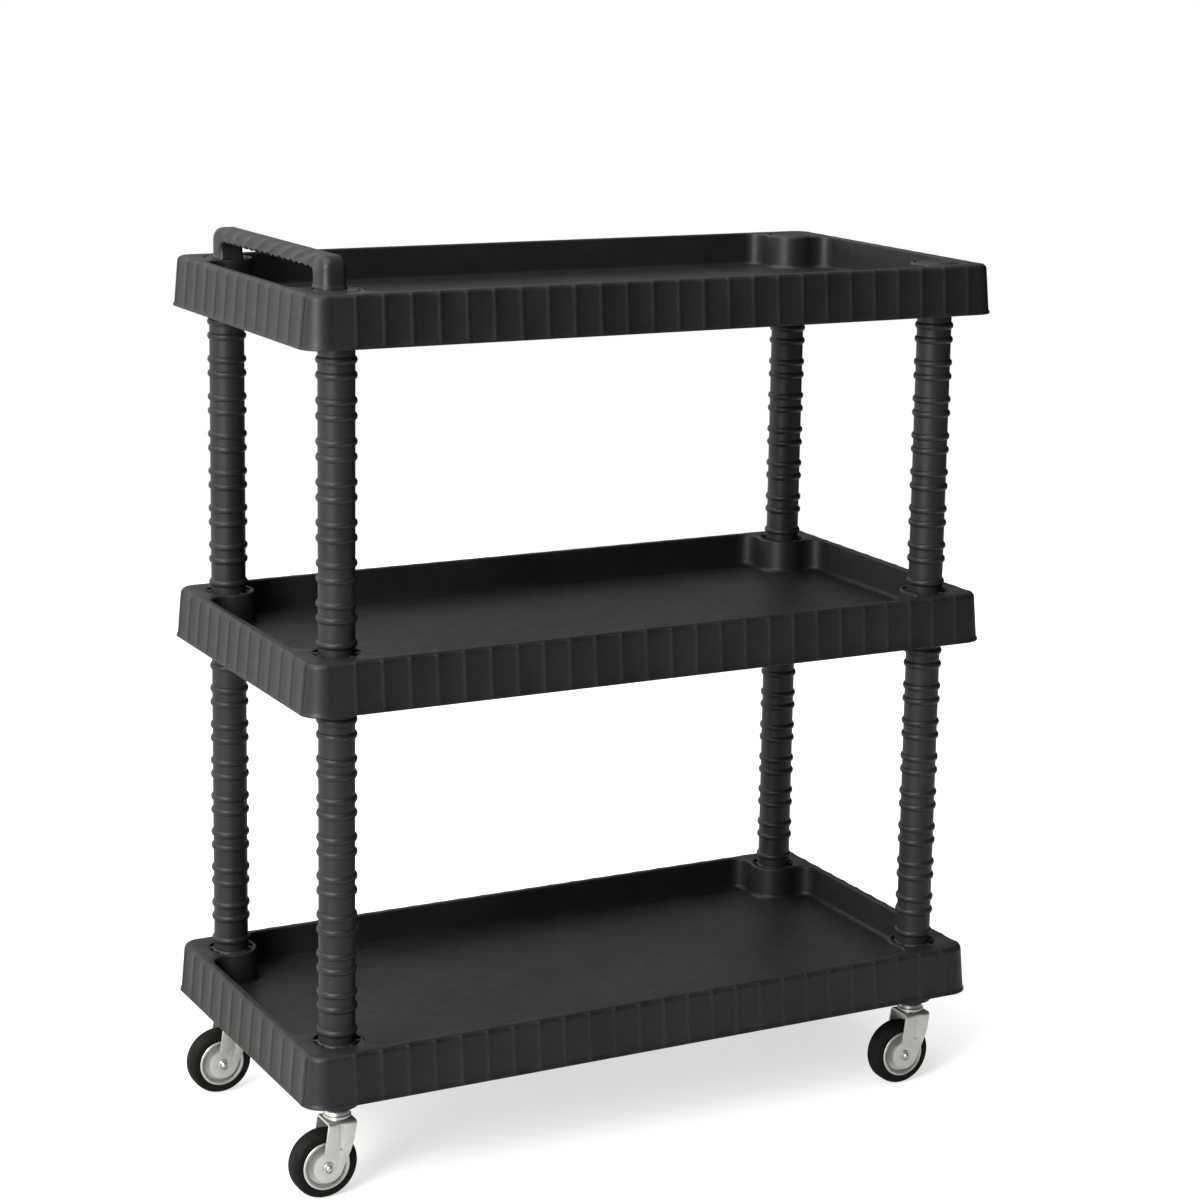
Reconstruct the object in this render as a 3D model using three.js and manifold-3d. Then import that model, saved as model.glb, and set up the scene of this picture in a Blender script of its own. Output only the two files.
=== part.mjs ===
// Three-shelf resin tool cart on four swivel casters.
// Millimetres, +Z up. The origin lies on the floor under the centre of the cart's outline.
// +X runs along the trays away from the handle, and -Y is the long side that faces the user.

import * as THREE from 'three';
import { mergeVertices } from 'three/addons/utils/BufferGeometryUtils.js';
import Module from 'manifold-3d';

const wasm = await Module();
wasm.setup();

// ---- Driving dimensions ---------------------------------------------------------------------

const GAP = 0.3; // clearance between touching pieces

const TRAY_LENGTH = 900; // at the bottom edge of the skirt
const TRAY_WIDTH = 453;
const TRAY_HEIGHT = 60; // skirt edge to rim
const TRAY_DRAFT = 5; // how far the skirt leans in on each side
const TRAY_CORNER_RADIUS = 26;
const RIM_ROUND = 5; // chamfer that stands for the rounded outer edge of the rim
const RIM_WIDTH = 12;
const WALL = 4;
const PAN_DEPTH = 42; // rim to pan floor
const PAN_FILLET = 20; // radius where a corner pillar runs into the pan's side
const TRAY_BASES = { bottom: 126, middle: 583, top: 992 }; // height of each skirt's lower edge

const POST_X = 395; // post axes, and caster pivots below them
const POST_Y = 172;
const POST_RADIUS = 21;
const POST_BORE = 17.5;
const POST_SIDES = 16;
const SOCKET_FLOOR = 30; // above the skirt's lower edge, under a post's foot
const SOCKET_ROOF = 24; // over the top of the post below
const PILLAR_RADIUS = 32; // corner pillar as seen in the pan
const GROOVE_INNER = 25.2; // ring groove in the corner deck around a post or leg
const GROOVE_OUTER = 29;
const GROOVE_DEPTH = 9;
const GROOVE_TAB = 3; // width of the radial tabs that cross the groove
const UNDER_BOSS_RADIUS = 25.3; // socket wall below the pan floor

const RIB_THICKNESS = 3;
const RIB_DEPTH = 12;
const RIBS_ALONG = [-75, 75]; // Y of the long ribs under a pan
const RIBS_ACROSS = [-240, 0, 240]; // X of the short ribs under a pan

const HANDLE_X = -398;
const HANDLE_DEPTH = 26; // size in X
const HANDLE_LEG = 28; // size of a leg in Y
const HANDLE_LEG_Y = 160.5; // middle of a leg
const HANDLE_RISE = 37; // top of the grip above the rim
const HANDLE_GRIP = 15; // thickness of the grip
const HANDLE_PLUG = 24; // how deep a leg stands in its socket
const HANDLE_OUTER_ROUND = 14;
const HANDLE_INNER_ROUND = 8;
const FINGER_RIPPLES = 9;
const FINGER_RIPPLE_DEPTH = 2;

const CAP_RADIUS = 21.5;
const CAP_THICKNESS = 3;
const CAP_PLUG_RADIUS = 16;
const CAP_PLUG_DEPTH = 16;

const WHEEL_RADIUS = 40;
const WHEEL_WIDTH = 25;
const WHEEL_SHEET = 1.8;
const WHEEL_WEB = 10; // outer face of a web from the middle of the wheel
const HUB_REACH = 15.3; // end of the hub from the middle of the wheel
const RIM_SEAT_RADIUS = 24;
const RIM_FLARE = [[24, 7.2], [26.8, 11.6], [28.6, 13.2], [26, 13.2]]; // [radius, from the middle]
const TYRE_BORE = { radius: 25.4, half: 7.5 }; // the tyre's narrow inner face
const TYRE_SHOULDER = 29.6; // radius at which its sides reach full width
const CASTER_TRAIL = 18; // axle behind the pivot
const BOSS_BOTTOM = 108.5; // face that a caster bears against
const INSERT_OUTER = 9;
const INSERT_INNER = 5.9;
const INSERT_TOP = 146;
const FORK_TOP = 92.5;
const FORK_SHEET = 2.5;
const FORK_HALF_WIDTH = 18.9;
const FORK_HALF_TOP = 17; // half of a leg's width at its top
const FORK_WAIST = { x: 14, z: 66 }; // where the leg's front edge turns towards the axle
const FORK_HEEL_X = -22.5; // where its back edge meets the rounded end
const FORK_END_RADIUS = 18; // rounded end around the axle
const LOWER_RACE_RADIUS = 13.5;
const LOWER_RACE_TOP = 94.6;
const UPPER_RACE_RADIUS = 16.5;
const UPPER_RACE_WALL = 2.1;
const UPPER_RACE_TOP = 103.2;
const UPPER_RACE_BOTTOM = 94.8;
const KINGPIN_RADIUS = 5;
const KINGPIN_HEAD = 3.5; // thickness of its headed-over end
const COLLAR_RADIUS = 8; // of the stem's collar and of the kingpin's head
const STEM_RADIUS = 5.6;
const STEM_TOP = 145;
const BALL_CIRCLE = 10.5;
const BALL_RADIUS = 2.8;
const BALL_HEIGHT = 97.7;
const BALL_COUNT = 6;
const CAGE_THICKNESS = 1.2;
const AXLE_RADIUS = 4;
const AXLE_HEAD = 7;
const AXLE_HEAD_THICKNESS = 5;
const SLEEVE_RADIUS = 6.5;

// The casters trail towards -X past the trays, so the cart is moved to centre its outline.
const CENTRING = (POST_X + CASTER_TRAIL + WHEEL_RADIUS - TRAY_LENGTH / 2) / 2;

const BEYOND = 5; // how far cutting tools run past a face
const ARC_STEPS = 4;
const HIDDEN_SIDES = 12; // facets of a round surface inside the assembly
const SMALL_SIDES = 16; // facets of a small round surface
const TYRE_SIDES = 32;

// ---- Materials ------------------------------------------------------------------------------

function finish(color, roughness, metalness) {
  return new THREE.MeshStandardMaterial({ color, roughness, metalness });
}
const resin = () => finish(0x1d1d1e, 0.55, 0);
const nylon = () => finish(0x3a3a3a, 0.5, 0);
const zinc = () => finish(0xb4b6ae, 0.38, 0.9);
const steel = () => finish(0x8f9190, 0.35, 1);
const rubber = () => finish(0x161616, 0.8, 0);

// ---- Solids ---------------------------------------------------------------------------------

// Turns a closed three.js geometry into a solid whose faces point out.
function solid(geometry) {
  const bare = geometry.index ? geometry.toNonIndexed() : geometry.clone();
  for (const attribute of Object.keys(bare.attributes)) {
    if (attribute !== 'position') bare.deleteAttribute(attribute);
  }
  const merged = mergeVertices(bare, 1e-4);
  const position = merged.attributes.position.array;
  const corners = [];
  const source = merged.index.array;
  let volume = 0;
  const [a, b, c] = [new THREE.Vector3(), new THREE.Vector3(), new THREE.Vector3()];
  for (let i = 0; i < source.length; i += 3) {
    const [p, q, r] = [source[i], source[i + 1], source[i + 2]];
    if (p === q || q === r || r === p) continue;
    corners.push(p, q, r);
    a.fromArray(position, 3 * p);
    b.fromArray(position, 3 * q);
    c.fromArray(position, 3 * r);
    volume += a.dot(b.cross(c));
  }
  if (volume < 0) corners.reverse();
  return new wasm.Manifold(new wasm.Mesh({
    numProp: 3,
    vertProperties: Float32Array.from(position),
    triVerts: Uint32Array.from(corners),
  }));
}

// Turns a solid back into a geometry for a mesh.
function geometryOf(body) {
  const { vertProperties, triVerts } = body.getMesh();
  const geometry = new THREE.BufferGeometry();
  geometry.setAttribute('position', new THREE.BufferAttribute(vertProperties, 3));
  geometry.setIndex(new THREE.BufferAttribute(triVerts, 1));
  geometry.computeVertexNormals();
  return geometry;
}

// A flat outline in X and Y, extruded from z0 to z1. topX and topY scale its upper face.
function slab(shape, z0, z1, topX = 1, topY = 1) {
  const geometry = new THREE.ExtrudeGeometry(shape, {
    depth: z1 - z0,
    bevelEnabled: false,
    curveSegments: ARC_STEPS,
  });
  const position = geometry.attributes.position;
  for (let i = 0; i < position.count; i += 1) {
    if (position.getZ(i) > (z1 - z0) / 2) {
      position.setX(i, position.getX(i) * topX);
      position.setY(i, position.getY(i) * topY);
    }
  }
  geometry.translate(0, 0, z0);
  return solid(geometry);
}

// An upright cylinder on the axis through (x, y).
function drum(x, y, radius, z0, z1, sides = POST_SIDES) {
  const geometry = new THREE.CylinderGeometry(radius, radius, z1 - z0, sides);
  geometry.rotateX(Math.PI / 2);
  geometry.translate(x, y, (z0 + z1) / 2);
  return solid(geometry);
}

function block(x0, x1, y0, y1, z0, z1) {
  const geometry = new THREE.BoxGeometry(x1 - x0, y1 - y0, z1 - z0);
  geometry.translate((x0 + x1) / 2, (y0 + y1) / 2, (z0 + z1) / 2);
  return solid(geometry);
}

// A solid of revolution about Z from [radius, z] points.
function turned(profile, sides) {
  const geometry = new THREE.LatheGeometry(closed(profile), sides);
  geometry.rotateX(Math.PI / 2);
  return solid(geometry);
}

// A solid of revolution about Y from [radius, y] points.
function wheelTurned(profile, sides) {
  return solid(new THREE.LatheGeometry(closed(profile), sides));
}

// A profile that starts and ends on the axis stays open; any other closes on itself.
function closed(profile) {
  const points = profile.map(([radius, along]) => new THREE.Vector2(radius, along));
  const onAxis = profile[0][0] === 0 && profile[profile.length - 1][0] === 0;
  if (!onAxis) points.push(points[0].clone());
  return points;
}

function part(name, body, material) {
  const mesh = new THREE.Mesh(geometryOf(body), material);
  mesh.name = name;
  return mesh;
}

// ---- Outlines -------------------------------------------------------------------------------

function arcPoints(x, y, radius, start, end, steps) {
  const points = [];
  for (let i = 0; i <= steps; i += 1) {
    const angle = start + (end - start) * i / steps;
    points.push(new THREE.Vector2(x + radius * Math.cos(angle), y + radius * Math.sin(angle)));
  }
  return points;
}

function roundedRectangle(halfX, halfY, radius) {
  const points = [];
  const centres = [[1, 1], [-1, 1], [-1, -1], [1, -1]];
  centres.forEach(([signX, signY], quarter) => {
    const start = quarter * Math.PI / 2;
    const [x, y] = [signX * (halfX - radius), signY * (halfY - radius)];
    points.push(...arcPoints(x, y, radius, start, start + Math.PI / 2, ARC_STEPS));
  });
  return new THREE.Shape(points);
}

// The pan's outline: a rectangle whose corners bend in around the post pillars in an S-curve.
// Growing it by `offset` moves every wall outwards by that much.
function panOutline(offset) {
  const halfX = TRAY_LENGTH / 2 - TRAY_DRAFT - RIM_WIDTH + offset;
  const halfY = TRAY_WIDTH / 2 - TRAY_DRAFT - RIM_WIDTH + offset;
  const pillar = PILLAR_RADIUS - offset;
  const fillet = PAN_FILLET + offset;
  const reach = pillar + fillet;
  const endX = halfX - fillet;
  const endY = POST_Y - Math.sqrt(reach ** 2 - (endX - POST_X) ** 2);
  const sideY = halfY - fillet;
  const sideX = POST_X - Math.sqrt(reach ** 2 - (sideY - POST_Y) ** 2);
  const endAngle = Math.atan2(POST_Y - endY, POST_X - endX);
  const sideAngle = Math.atan2(POST_Y - sideY, POST_X - sideX);
  const quarter = [
    ...arcPoints(endX, endY, fillet, 0, endAngle, ARC_STEPS),
    ...arcPoints(POST_X, POST_Y, pillar, endAngle + Math.PI, sideAngle + Math.PI, ARC_STEPS + 2).slice(1),
    ...arcPoints(sideX, sideY, fillet, sideAngle, Math.PI / 2, ARC_STEPS).slice(1),
  ];
  const mirrored = (signX, signY) => {
    const points = quarter.map((p) => new THREE.Vector2(p.x * signX, p.y * signY));
    return signX * signY < 0 ? points.reverse() : points;
  };
  return new THREE.Shape([
    ...mirrored(1, 1), ...mirrored(-1, 1), ...mirrored(-1, -1), ...mirrored(1, -1),
  ]);
}

// ---- Trays ----------------------------------------------------------------------------------

const CORNERS = [
  { name: 'front_left', x: -POST_X, y: -POST_Y },
  { name: 'front_right', x: POST_X, y: -POST_Y },
  { name: 'back_left', x: -POST_X, y: POST_Y },
  { name: 'back_right', x: POST_X, y: POST_Y },
];

// The moulded shell without its sockets: a leaning skirt, a rim, a pan and the hollow below.
function trayShell() {
  const leanX = 1 - 2 * TRAY_DRAFT / TRAY_LENGTH;
  const leanY = 1 - 2 * TRAY_DRAFT / TRAY_WIDTH;
  const shoulder = TRAY_HEIGHT - RIM_ROUND;
  const outline = roundedRectangle(TRAY_LENGTH / 2, TRAY_WIDTH / 2, TRAY_CORNER_RADIUS);
  const [halfX, halfY] = [TRAY_LENGTH / 2 - TRAY_DRAFT, TRAY_WIDTH / 2 - TRAY_DRAFT];
  const rim = roundedRectangle(halfX, halfY, TRAY_CORNER_RADIUS);
  let shell = slab(outline, 0, shoulder, leanX, leanY);
  shell = shell.add(slab(rim, shoulder, TRAY_HEIGHT, 1 - RIM_ROUND / 2 / halfX, 1 - RIM_ROUND / 2 / halfY));
  shell = shell.subtract(slab(panOutline(0), TRAY_HEIGHT - PAN_DEPTH, TRAY_HEIGHT + BEYOND));
  return shell.subtract(underside(leanX, leanY));
}

// The space under the pan and inside the rim, less the socket walls and the ribs.
function underside(leanX, leanY) {
  const panBottom = TRAY_HEIGHT - PAN_DEPTH - WALL;
  const inner = roundedRectangle(
    TRAY_LENGTH / 2 - WALL,
    TRAY_WIDTH / 2 - WALL,
    TRAY_CORNER_RADIUS - WALL,
  );
  const deckBottom = TRAY_HEIGHT - RIM_ROUND - 1;
  let space = slab(inner, -BEYOND, deckBottom, leanX, leanY);
  space = space.subtract(slab(panOutline(WALL), panBottom, TRAY_HEIGHT));
  for (const corner of CORNERS) {
    const { x, y } = corner;
    space = space.subtract(drum(x, y, UNDER_BOSS_RADIUS, -2 * BEYOND, panBottom + 1, HIDDEN_SIDES));
    space = space.subtract(drum(x, y, PILLAR_RADIUS - 1, panBottom, TRAY_HEIGHT, HIDDEN_SIDES));
  }
  const ribBottom = panBottom - RIB_DEPTH;
  const [reachX, reachY] = [TRAY_LENGTH / 2, TRAY_WIDTH / 2];
  for (const y of RIBS_ALONG) {
    const [y0, y1] = [y - RIB_THICKNESS / 2, y + RIB_THICKNESS / 2];
    space = space.subtract(block(-reachX, reachX, y0, y1, ribBottom, panBottom + 1));
  }
  for (const x of RIBS_ACROSS) {
    const [x0, x1] = [x - RIB_THICKNESS / 2, x + RIB_THICKNESS / 2];
    space = space.subtract(block(x0, x1, -reachY, reachY, ribBottom, panBottom + 1));
  }
  return space;
}

// The ring groove in a corner deck, with four tabs left standing across it.
// With an open middle it is also the mouth of a post's socket.
function grooveCut({ x, y }, middleOpen) {
  const bottom = TRAY_HEIGHT - GROOVE_DEPTH;
  const top = TRAY_HEIGHT + BEYOND;
  let ring = drum(x, y, GROOVE_OUTER, bottom, top);
  ring = ring.subtract(drum(x, y, GROOVE_INNER, bottom - 1, top + 1));
  const [reach, half] = [GROOVE_OUTER + 1, GROOVE_TAB / 2];
  ring = ring.subtract(block(x - reach, x + reach, y - half, y + half, bottom, top + 1));
  ring = ring.subtract(block(x - half, x + half, y - reach, y + reach, bottom, top + 1));
  return middleOpen ? ring.add(drum(x, y, GROOVE_INNER, bottom, top)) : ring;
}

function postSocketAbove(corner) {
  return drum(corner.x, corner.y, POST_RADIUS + GAP, SOCKET_FLOOR, TRAY_HEIGHT + BEYOND);
}

function postSocketBelow(corner) {
  return drum(corner.x, corner.y, POST_RADIUS + GAP, -BEYOND, SOCKET_ROOF);
}

function middleTray(shell) {
  let tray = shell;
  for (const corner of CORNERS) {
    tray = tray.subtract(grooveCut(corner, true));
    tray = tray.subtract(postSocketAbove(corner));
    tray = tray.subtract(postSocketBelow(corner));
  }
  return tray;
}

// The bottom tray has a long boss for a caster in place of the lower post sockets.
function bottomTray(shell) {
  const bossBottom = BOSS_BOTTOM - TRAY_BASES.bottom;
  const insertRoof = INSERT_TOP + GAP - TRAY_BASES.bottom;
  let tray = shell;
  for (const corner of CORNERS) {
    tray = tray.add(drum(corner.x, corner.y, UNDER_BOSS_RADIUS, bossBottom, 1, HIDDEN_SIDES));
    tray = tray.subtract(grooveCut(corner, true));
    tray = tray.subtract(postSocketAbove(corner));
    const { x, y } = corner;
    tray = tray.subtract(drum(x, y, INSERT_OUTER + GAP, bossBottom - BEYOND, insertRoof, HIDDEN_SIDES));
  }
  return tray;
}

// The top tray's corner decks hold the handle's legs on the left and round caps on the right.
function topTray(shell) {
  const top = TRAY_HEIGHT + BEYOND;
  let tray = shell;
  for (const corner of CORNERS) {
    tray = tray.subtract(grooveCut(corner, false));
    tray = tray.subtract(postSocketBelow(corner));
    if (corner.x < 0) {
      const [halfX, halfY] = [HANDLE_DEPTH / 2 + GAP, HANDLE_LEG / 2 + GAP];
      const floor = TRAY_HEIGHT - HANDLE_PLUG - GAP;
      const legY = Math.sign(corner.y) * HANDLE_LEG_Y;
      const [y0, y1] = [legY - halfY, legY + halfY];
      tray = tray.subtract(block(HANDLE_X - halfX, HANDLE_X + halfX, y0, y1, floor, top));
    } else {
      const floor = TRAY_HEIGHT - CAP_PLUG_DEPTH - GAP;
      tray = tray.subtract(drum(corner.x, corner.y, CAP_PLUG_RADIUS + GAP, floor, top));
      const seat = TRAY_HEIGHT - CAP_THICKNESS - GAP;
      tray = tray.subtract(drum(corner.x, corner.y, CAP_RADIUS + GAP, seat, top));
    }
  }
  return tray;
}

function addTrays(cart) {
  const shell = trayShell();
  const trays = { bottom: bottomTray(shell), middle: middleTray(shell), top: topTray(shell) };
  for (const [level, body] of Object.entries(trays)) {
    const mesh = part(`${level}_tray`, body, resin());
    mesh.position.z = TRAY_BASES[level];
    cart.add(mesh);
  }
}

// ---- Posts, caps and handle -----------------------------------------------------------------

function addPosts(cart) {
  const spans = {
    lower_post: [TRAY_BASES.bottom + SOCKET_FLOOR + GAP, TRAY_BASES.middle + SOCKET_ROOF - GAP],
    upper_post: [TRAY_BASES.middle + SOCKET_FLOOR + GAP, TRAY_BASES.top + SOCKET_ROOF - GAP],
  };
  for (const [kind, [foot, head]] of Object.entries(spans)) {
    const tube = turned([
      [POST_BORE, 0], [POST_RADIUS, 0], [POST_RADIUS, head - foot], [POST_BORE, head - foot],
    ], POST_SIDES);
    for (const corner of CORNERS) {
      const mesh = part(`${kind}_${corner.name}`, tube, resin());
      mesh.position.set(corner.x, corner.y, foot);
      cart.add(mesh);
    }
  }
}

function addCaps(cart) {
  const cap = turned([
    [0, -CAP_PLUG_DEPTH], [CAP_PLUG_RADIUS, -CAP_PLUG_DEPTH], [CAP_PLUG_RADIUS, -CAP_THICKNESS],
    [CAP_RADIUS, -CAP_THICKNESS], [CAP_RADIUS, 0], [0, 0],
  ], POST_SIDES);
  for (const corner of CORNERS.filter(({ x }) => x > 0)) {
    const mesh = part(`corner_cap_${corner.name}`, cap, resin());
    mesh.position.set(corner.x, corner.y, TRAY_BASES.top + TRAY_HEIGHT);
    cart.add(mesh);
  }
}

// A bail in the YZ plane: two legs joined by a grip whose underside ripples for the fingers.
function handleBody() {
  const outer = HANDLE_LEG_Y + HANDLE_LEG / 2;
  const inner = HANDLE_LEG_Y - HANDLE_LEG / 2;
  const under = HANDLE_RISE - HANDLE_GRIP;
  const [bigRound, smallRound] = [HANDLE_OUTER_ROUND, HANDLE_INNER_ROUND];
  const quarter = Math.PI / 2;
  const span = inner - smallRound;
  const ripple = [];
  const steps = FINGER_RIPPLES * 4;
  for (let i = 1; i < steps; i += 1) {
    const phase = i / steps * FINGER_RIPPLES * 2 * Math.PI;
    const drop = FINGER_RIPPLE_DEPTH * (1 - Math.cos(phase)) / 2;
    ripple.push(new THREE.Vector2(span - 2 * span * i / steps, under + drop - FINGER_RIPPLE_DEPTH));
  }
  const flat = under - FINGER_RIPPLE_DEPTH;
  const outline = new THREE.Shape([
    new THREE.Vector2(outer, -HANDLE_PLUG),
    ...arcPoints(outer - bigRound, HANDLE_RISE - bigRound, bigRound, 0, quarter, ARC_STEPS),
    ...arcPoints(bigRound - outer, HANDLE_RISE - bigRound, bigRound, quarter, 2 * quarter, ARC_STEPS),
    new THREE.Vector2(-outer, -HANDLE_PLUG),
    new THREE.Vector2(-inner, -HANDLE_PLUG),
    ...arcPoints(smallRound - inner, flat - smallRound, smallRound, 2 * quarter, quarter, ARC_STEPS),
    ...ripple.reverse(),
    ...arcPoints(inner - smallRound, flat - smallRound, smallRound, quarter, 0, ARC_STEPS),
    new THREE.Vector2(inner, -HANDLE_PLUG),
  ]);
  const geometry = new THREE.ExtrudeGeometry(outline, { depth: HANDLE_DEPTH, bevelEnabled: false });
  geometry.translate(0, 0, -HANDLE_DEPTH / 2);
  geometry.rotateX(quarter);
  geometry.rotateZ(quarter);
  return solid(geometry);
}

function addHandle(cart) {
  const mesh = part('push_handle', handleBody(), resin());
  mesh.position.set(HANDLE_X, 0, TRAY_BASES.top + TRAY_HEIGHT);
  cart.add(mesh);
}

// ---- Casters --------------------------------------------------------------------------------

// The side of a fork: a leg that narrows downwards and ends in a round around the axle.
function forkOutline() {
  const axle = { x: -CASTER_TRAIL, z: WHEEL_RADIUS };
  const heel = Math.acos((FORK_HEEL_X - axle.x) / FORK_END_RADIUS);
  const [alongX, alongZ] = [FORK_WAIST.x - axle.x, FORK_WAIST.z - axle.z];
  const tangent = Math.atan2(alongZ, alongX) - Math.acos(FORK_END_RADIUS / Math.hypot(alongX, alongZ));
  return new THREE.Shape([
    new THREE.Vector2(FORK_HALF_TOP, FORK_TOP),
    new THREE.Vector2(-FORK_HALF_TOP, FORK_TOP),
    ...arcPoints(axle.x, axle.z, FORK_END_RADIUS, heel, tangent + 2 * Math.PI, 3 * ARC_STEPS),
    new THREE.Vector2(FORK_WAIST.x, FORK_WAIST.z),
  ]);
}

// A cylinder along Y through the wheel's axle.
function crossDrum(radius, y0, y1, sides) {
  const geometry = new THREE.CylinderGeometry(radius, radius, y1 - y0, sides);
  geometry.translate(-CASTER_TRAIL, (y0 + y1) / 2, WHEEL_RADIUS);
  return solid(geometry);
}

// The pressed fork: a channel over the wheel with the lower ball race raised on its top.
function forkBody() {
  const depth = 2 * FORK_HALF_WIDTH;
  const geometry = new THREE.ExtrudeGeometry(forkOutline(), { depth, bevelEnabled: false });
  geometry.translate(0, 0, -FORK_HALF_WIDTH);
  geometry.rotateX(Math.PI / 2);
  const inside = FORK_HALF_WIDTH - FORK_SHEET;
  const sideways = CASTER_TRAIL + WHEEL_RADIUS;
  let fork = solid(geometry);
  fork = fork.subtract(block(-sideways, sideways, -inside, inside, 0, FORK_TOP - FORK_SHEET));
  fork = fork.add(drum(0, 0, LOWER_RACE_RADIUS, FORK_TOP - 1, LOWER_RACE_TOP, SMALL_SIDES));
  const [holeBottom, holeTop] = [FORK_TOP - BEYOND, LOWER_RACE_TOP + BEYOND];
  fork = fork.subtract(drum(0, 0, KINGPIN_RADIUS + GAP, holeBottom, holeTop, HIDDEN_SIDES));
  return fork.subtract(crossDrum(AXLE_RADIUS + GAP, -FORK_HALF_WIDTH - 1, FORK_HALF_WIDTH + 1, HIDDEN_SIDES));
}

// The threadless stem, its collar, and the kingpin that is headed over under the fork.
function stemBody() {
  const headTop = FORK_TOP - FORK_SHEET - GAP;
  const headBottom = headTop - KINGPIN_HEAD;
  const collarBottom = UPPER_RACE_TOP + GAP;
  const collarTop = BOSS_BOTTOM - GAP;
  return turned([
    [0, headBottom], [COLLAR_RADIUS, headBottom], [COLLAR_RADIUS, headTop], [KINGPIN_RADIUS, headTop],
    [KINGPIN_RADIUS, collarBottom], [COLLAR_RADIUS, collarBottom], [COLLAR_RADIUS, collarTop],
    [STEM_RADIUS, collarTop], [STEM_RADIUS, STEM_TOP - 2], [STEM_RADIUS - 1.2, STEM_TOP], [0, STEM_TOP],
  ], HIDDEN_SIDES);
}

// The cup over the balls.
function upperRaceBody() {
  const bore = KINGPIN_RADIUS + GAP;
  const roof = BALL_HEIGHT + BALL_RADIUS + GAP;
  const inner = UPPER_RACE_RADIUS - UPPER_RACE_WALL;
  return turned([
    [bore, roof], [inner, roof], [inner, UPPER_RACE_BOTTOM], [UPPER_RACE_RADIUS, UPPER_RACE_BOTTOM],
    [UPPER_RACE_RADIUS, UPPER_RACE_TOP - 1.5], [UPPER_RACE_RADIUS - 1.5, UPPER_RACE_TOP],
    [bore, UPPER_RACE_TOP],
  ], SMALL_SIDES);
}

function insertBody() {
  return turned([
    [INSERT_INNER, BOSS_BOTTOM], [INSERT_OUTER, BOSS_BOTTOM],
    [INSERT_OUTER, INSERT_TOP], [INSERT_INNER, INSERT_TOP],
  ], HIDDEN_SIDES);
}

// The balls, held in step by a flat ring cage.
function ballsBody() {
  const half = CAGE_THICKNESS / 2;
  const cage = turned([
    [BALL_CIRCLE - 1, BALL_HEIGHT - half], [BALL_CIRCLE + 1, BALL_HEIGHT - half],
    [BALL_CIRCLE + 1, BALL_HEIGHT + half], [BALL_CIRCLE - 1, BALL_HEIGHT + half],
  ], HIDDEN_SIDES);
  const balls = [cage];
  for (let i = 0; i < BALL_COUNT; i += 1) {
    const angle = 2 * Math.PI * i / BALL_COUNT;
    const ball = new THREE.OctahedronGeometry(BALL_RADIUS, 0);
    ball.translate(BALL_CIRCLE * Math.cos(angle), BALL_CIRCLE * Math.sin(angle), BALL_HEIGHT);
    balls.push(solid(ball));
  }
  return balls.reduce((all, ball) => all.add(ball));
}

function boltBody() {
  const face = FORK_HALF_WIDTH + GAP;
  const head = crossDrum(AXLE_HEAD, -face - AXLE_HEAD_THICKNESS, -face, 6);
  return head.add(crossDrum(AXLE_RADIUS, -face - 1, face + AXLE_HEAD_THICKNESS + 1, HIDDEN_SIDES));
}

function nutBody() {
  const face = FORK_HALF_WIDTH + GAP;
  const nut = crossDrum(AXLE_HEAD, face, face + AXLE_HEAD_THICKNESS, 6);
  return nut.subtract(crossDrum(AXLE_RADIUS + GAP, face - 1, face + AXLE_HEAD_THICKNESS + 1, HIDDEN_SIDES));
}

function sleeveBody() {
  const reach = FORK_HALF_WIDTH - FORK_SHEET - GAP;
  const tube = crossDrum(SLEEVE_RADIUS, -reach, reach, HIDDEN_SIDES);
  return tube.subtract(crossDrum(AXLE_RADIUS + GAP, -reach - 1, reach + 1, HIDDEN_SIDES));
}

// Wheel pieces are turned about their own axle. A wheel is two pressed halves that meet in the
// middle: each has half of the hub, a web, a seat for the tyre and a flared edge that grips it.
function wheelHalfBody(side) {
  const seam = GAP / 2;
  const bore = SLEEVE_RADIUS + GAP;
  const hub = bore + WHEEL_SHEET;
  const seat = RIM_SEAT_RADIUS - WHEEL_SHEET;
  const back = WHEEL_WEB - WHEEL_SHEET;
  return wheelTurned([
    [bore, seam], [hub, seam], [hub, back], [seat, back], [seat, seam], [RIM_SEAT_RADIUS, seam],
    ...RIM_FLARE, [seat + 0.4, WHEEL_WEB], [hub + 3.4, WHEEL_WEB],
    [hub, HUB_REACH], [bore, HUB_REACH],
  ].map(([radius, along]) => [radius, along * side]), SMALL_SIDES);
}

// The tyre stands on one of its flats, which is a wheel radius below the axle.
function tyreBody() {
  const half = WHEEL_WIDTH / 2;
  const tread = WHEEL_RADIUS / Math.cos(Math.PI / TYRE_SIDES);
  const tyre = wheelTurned([
    [TYRE_BORE.radius, -TYRE_BORE.half], [TYRE_SHOULDER, -half], [tread, 2 - half],
    [tread, half - 2], [TYRE_SHOULDER, half], [TYRE_BORE.radius, TYRE_BORE.half],
  ], TYRE_SIDES);
  return tyre.rotate([0, 180 / TYRE_SIDES, 0]);
}

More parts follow.
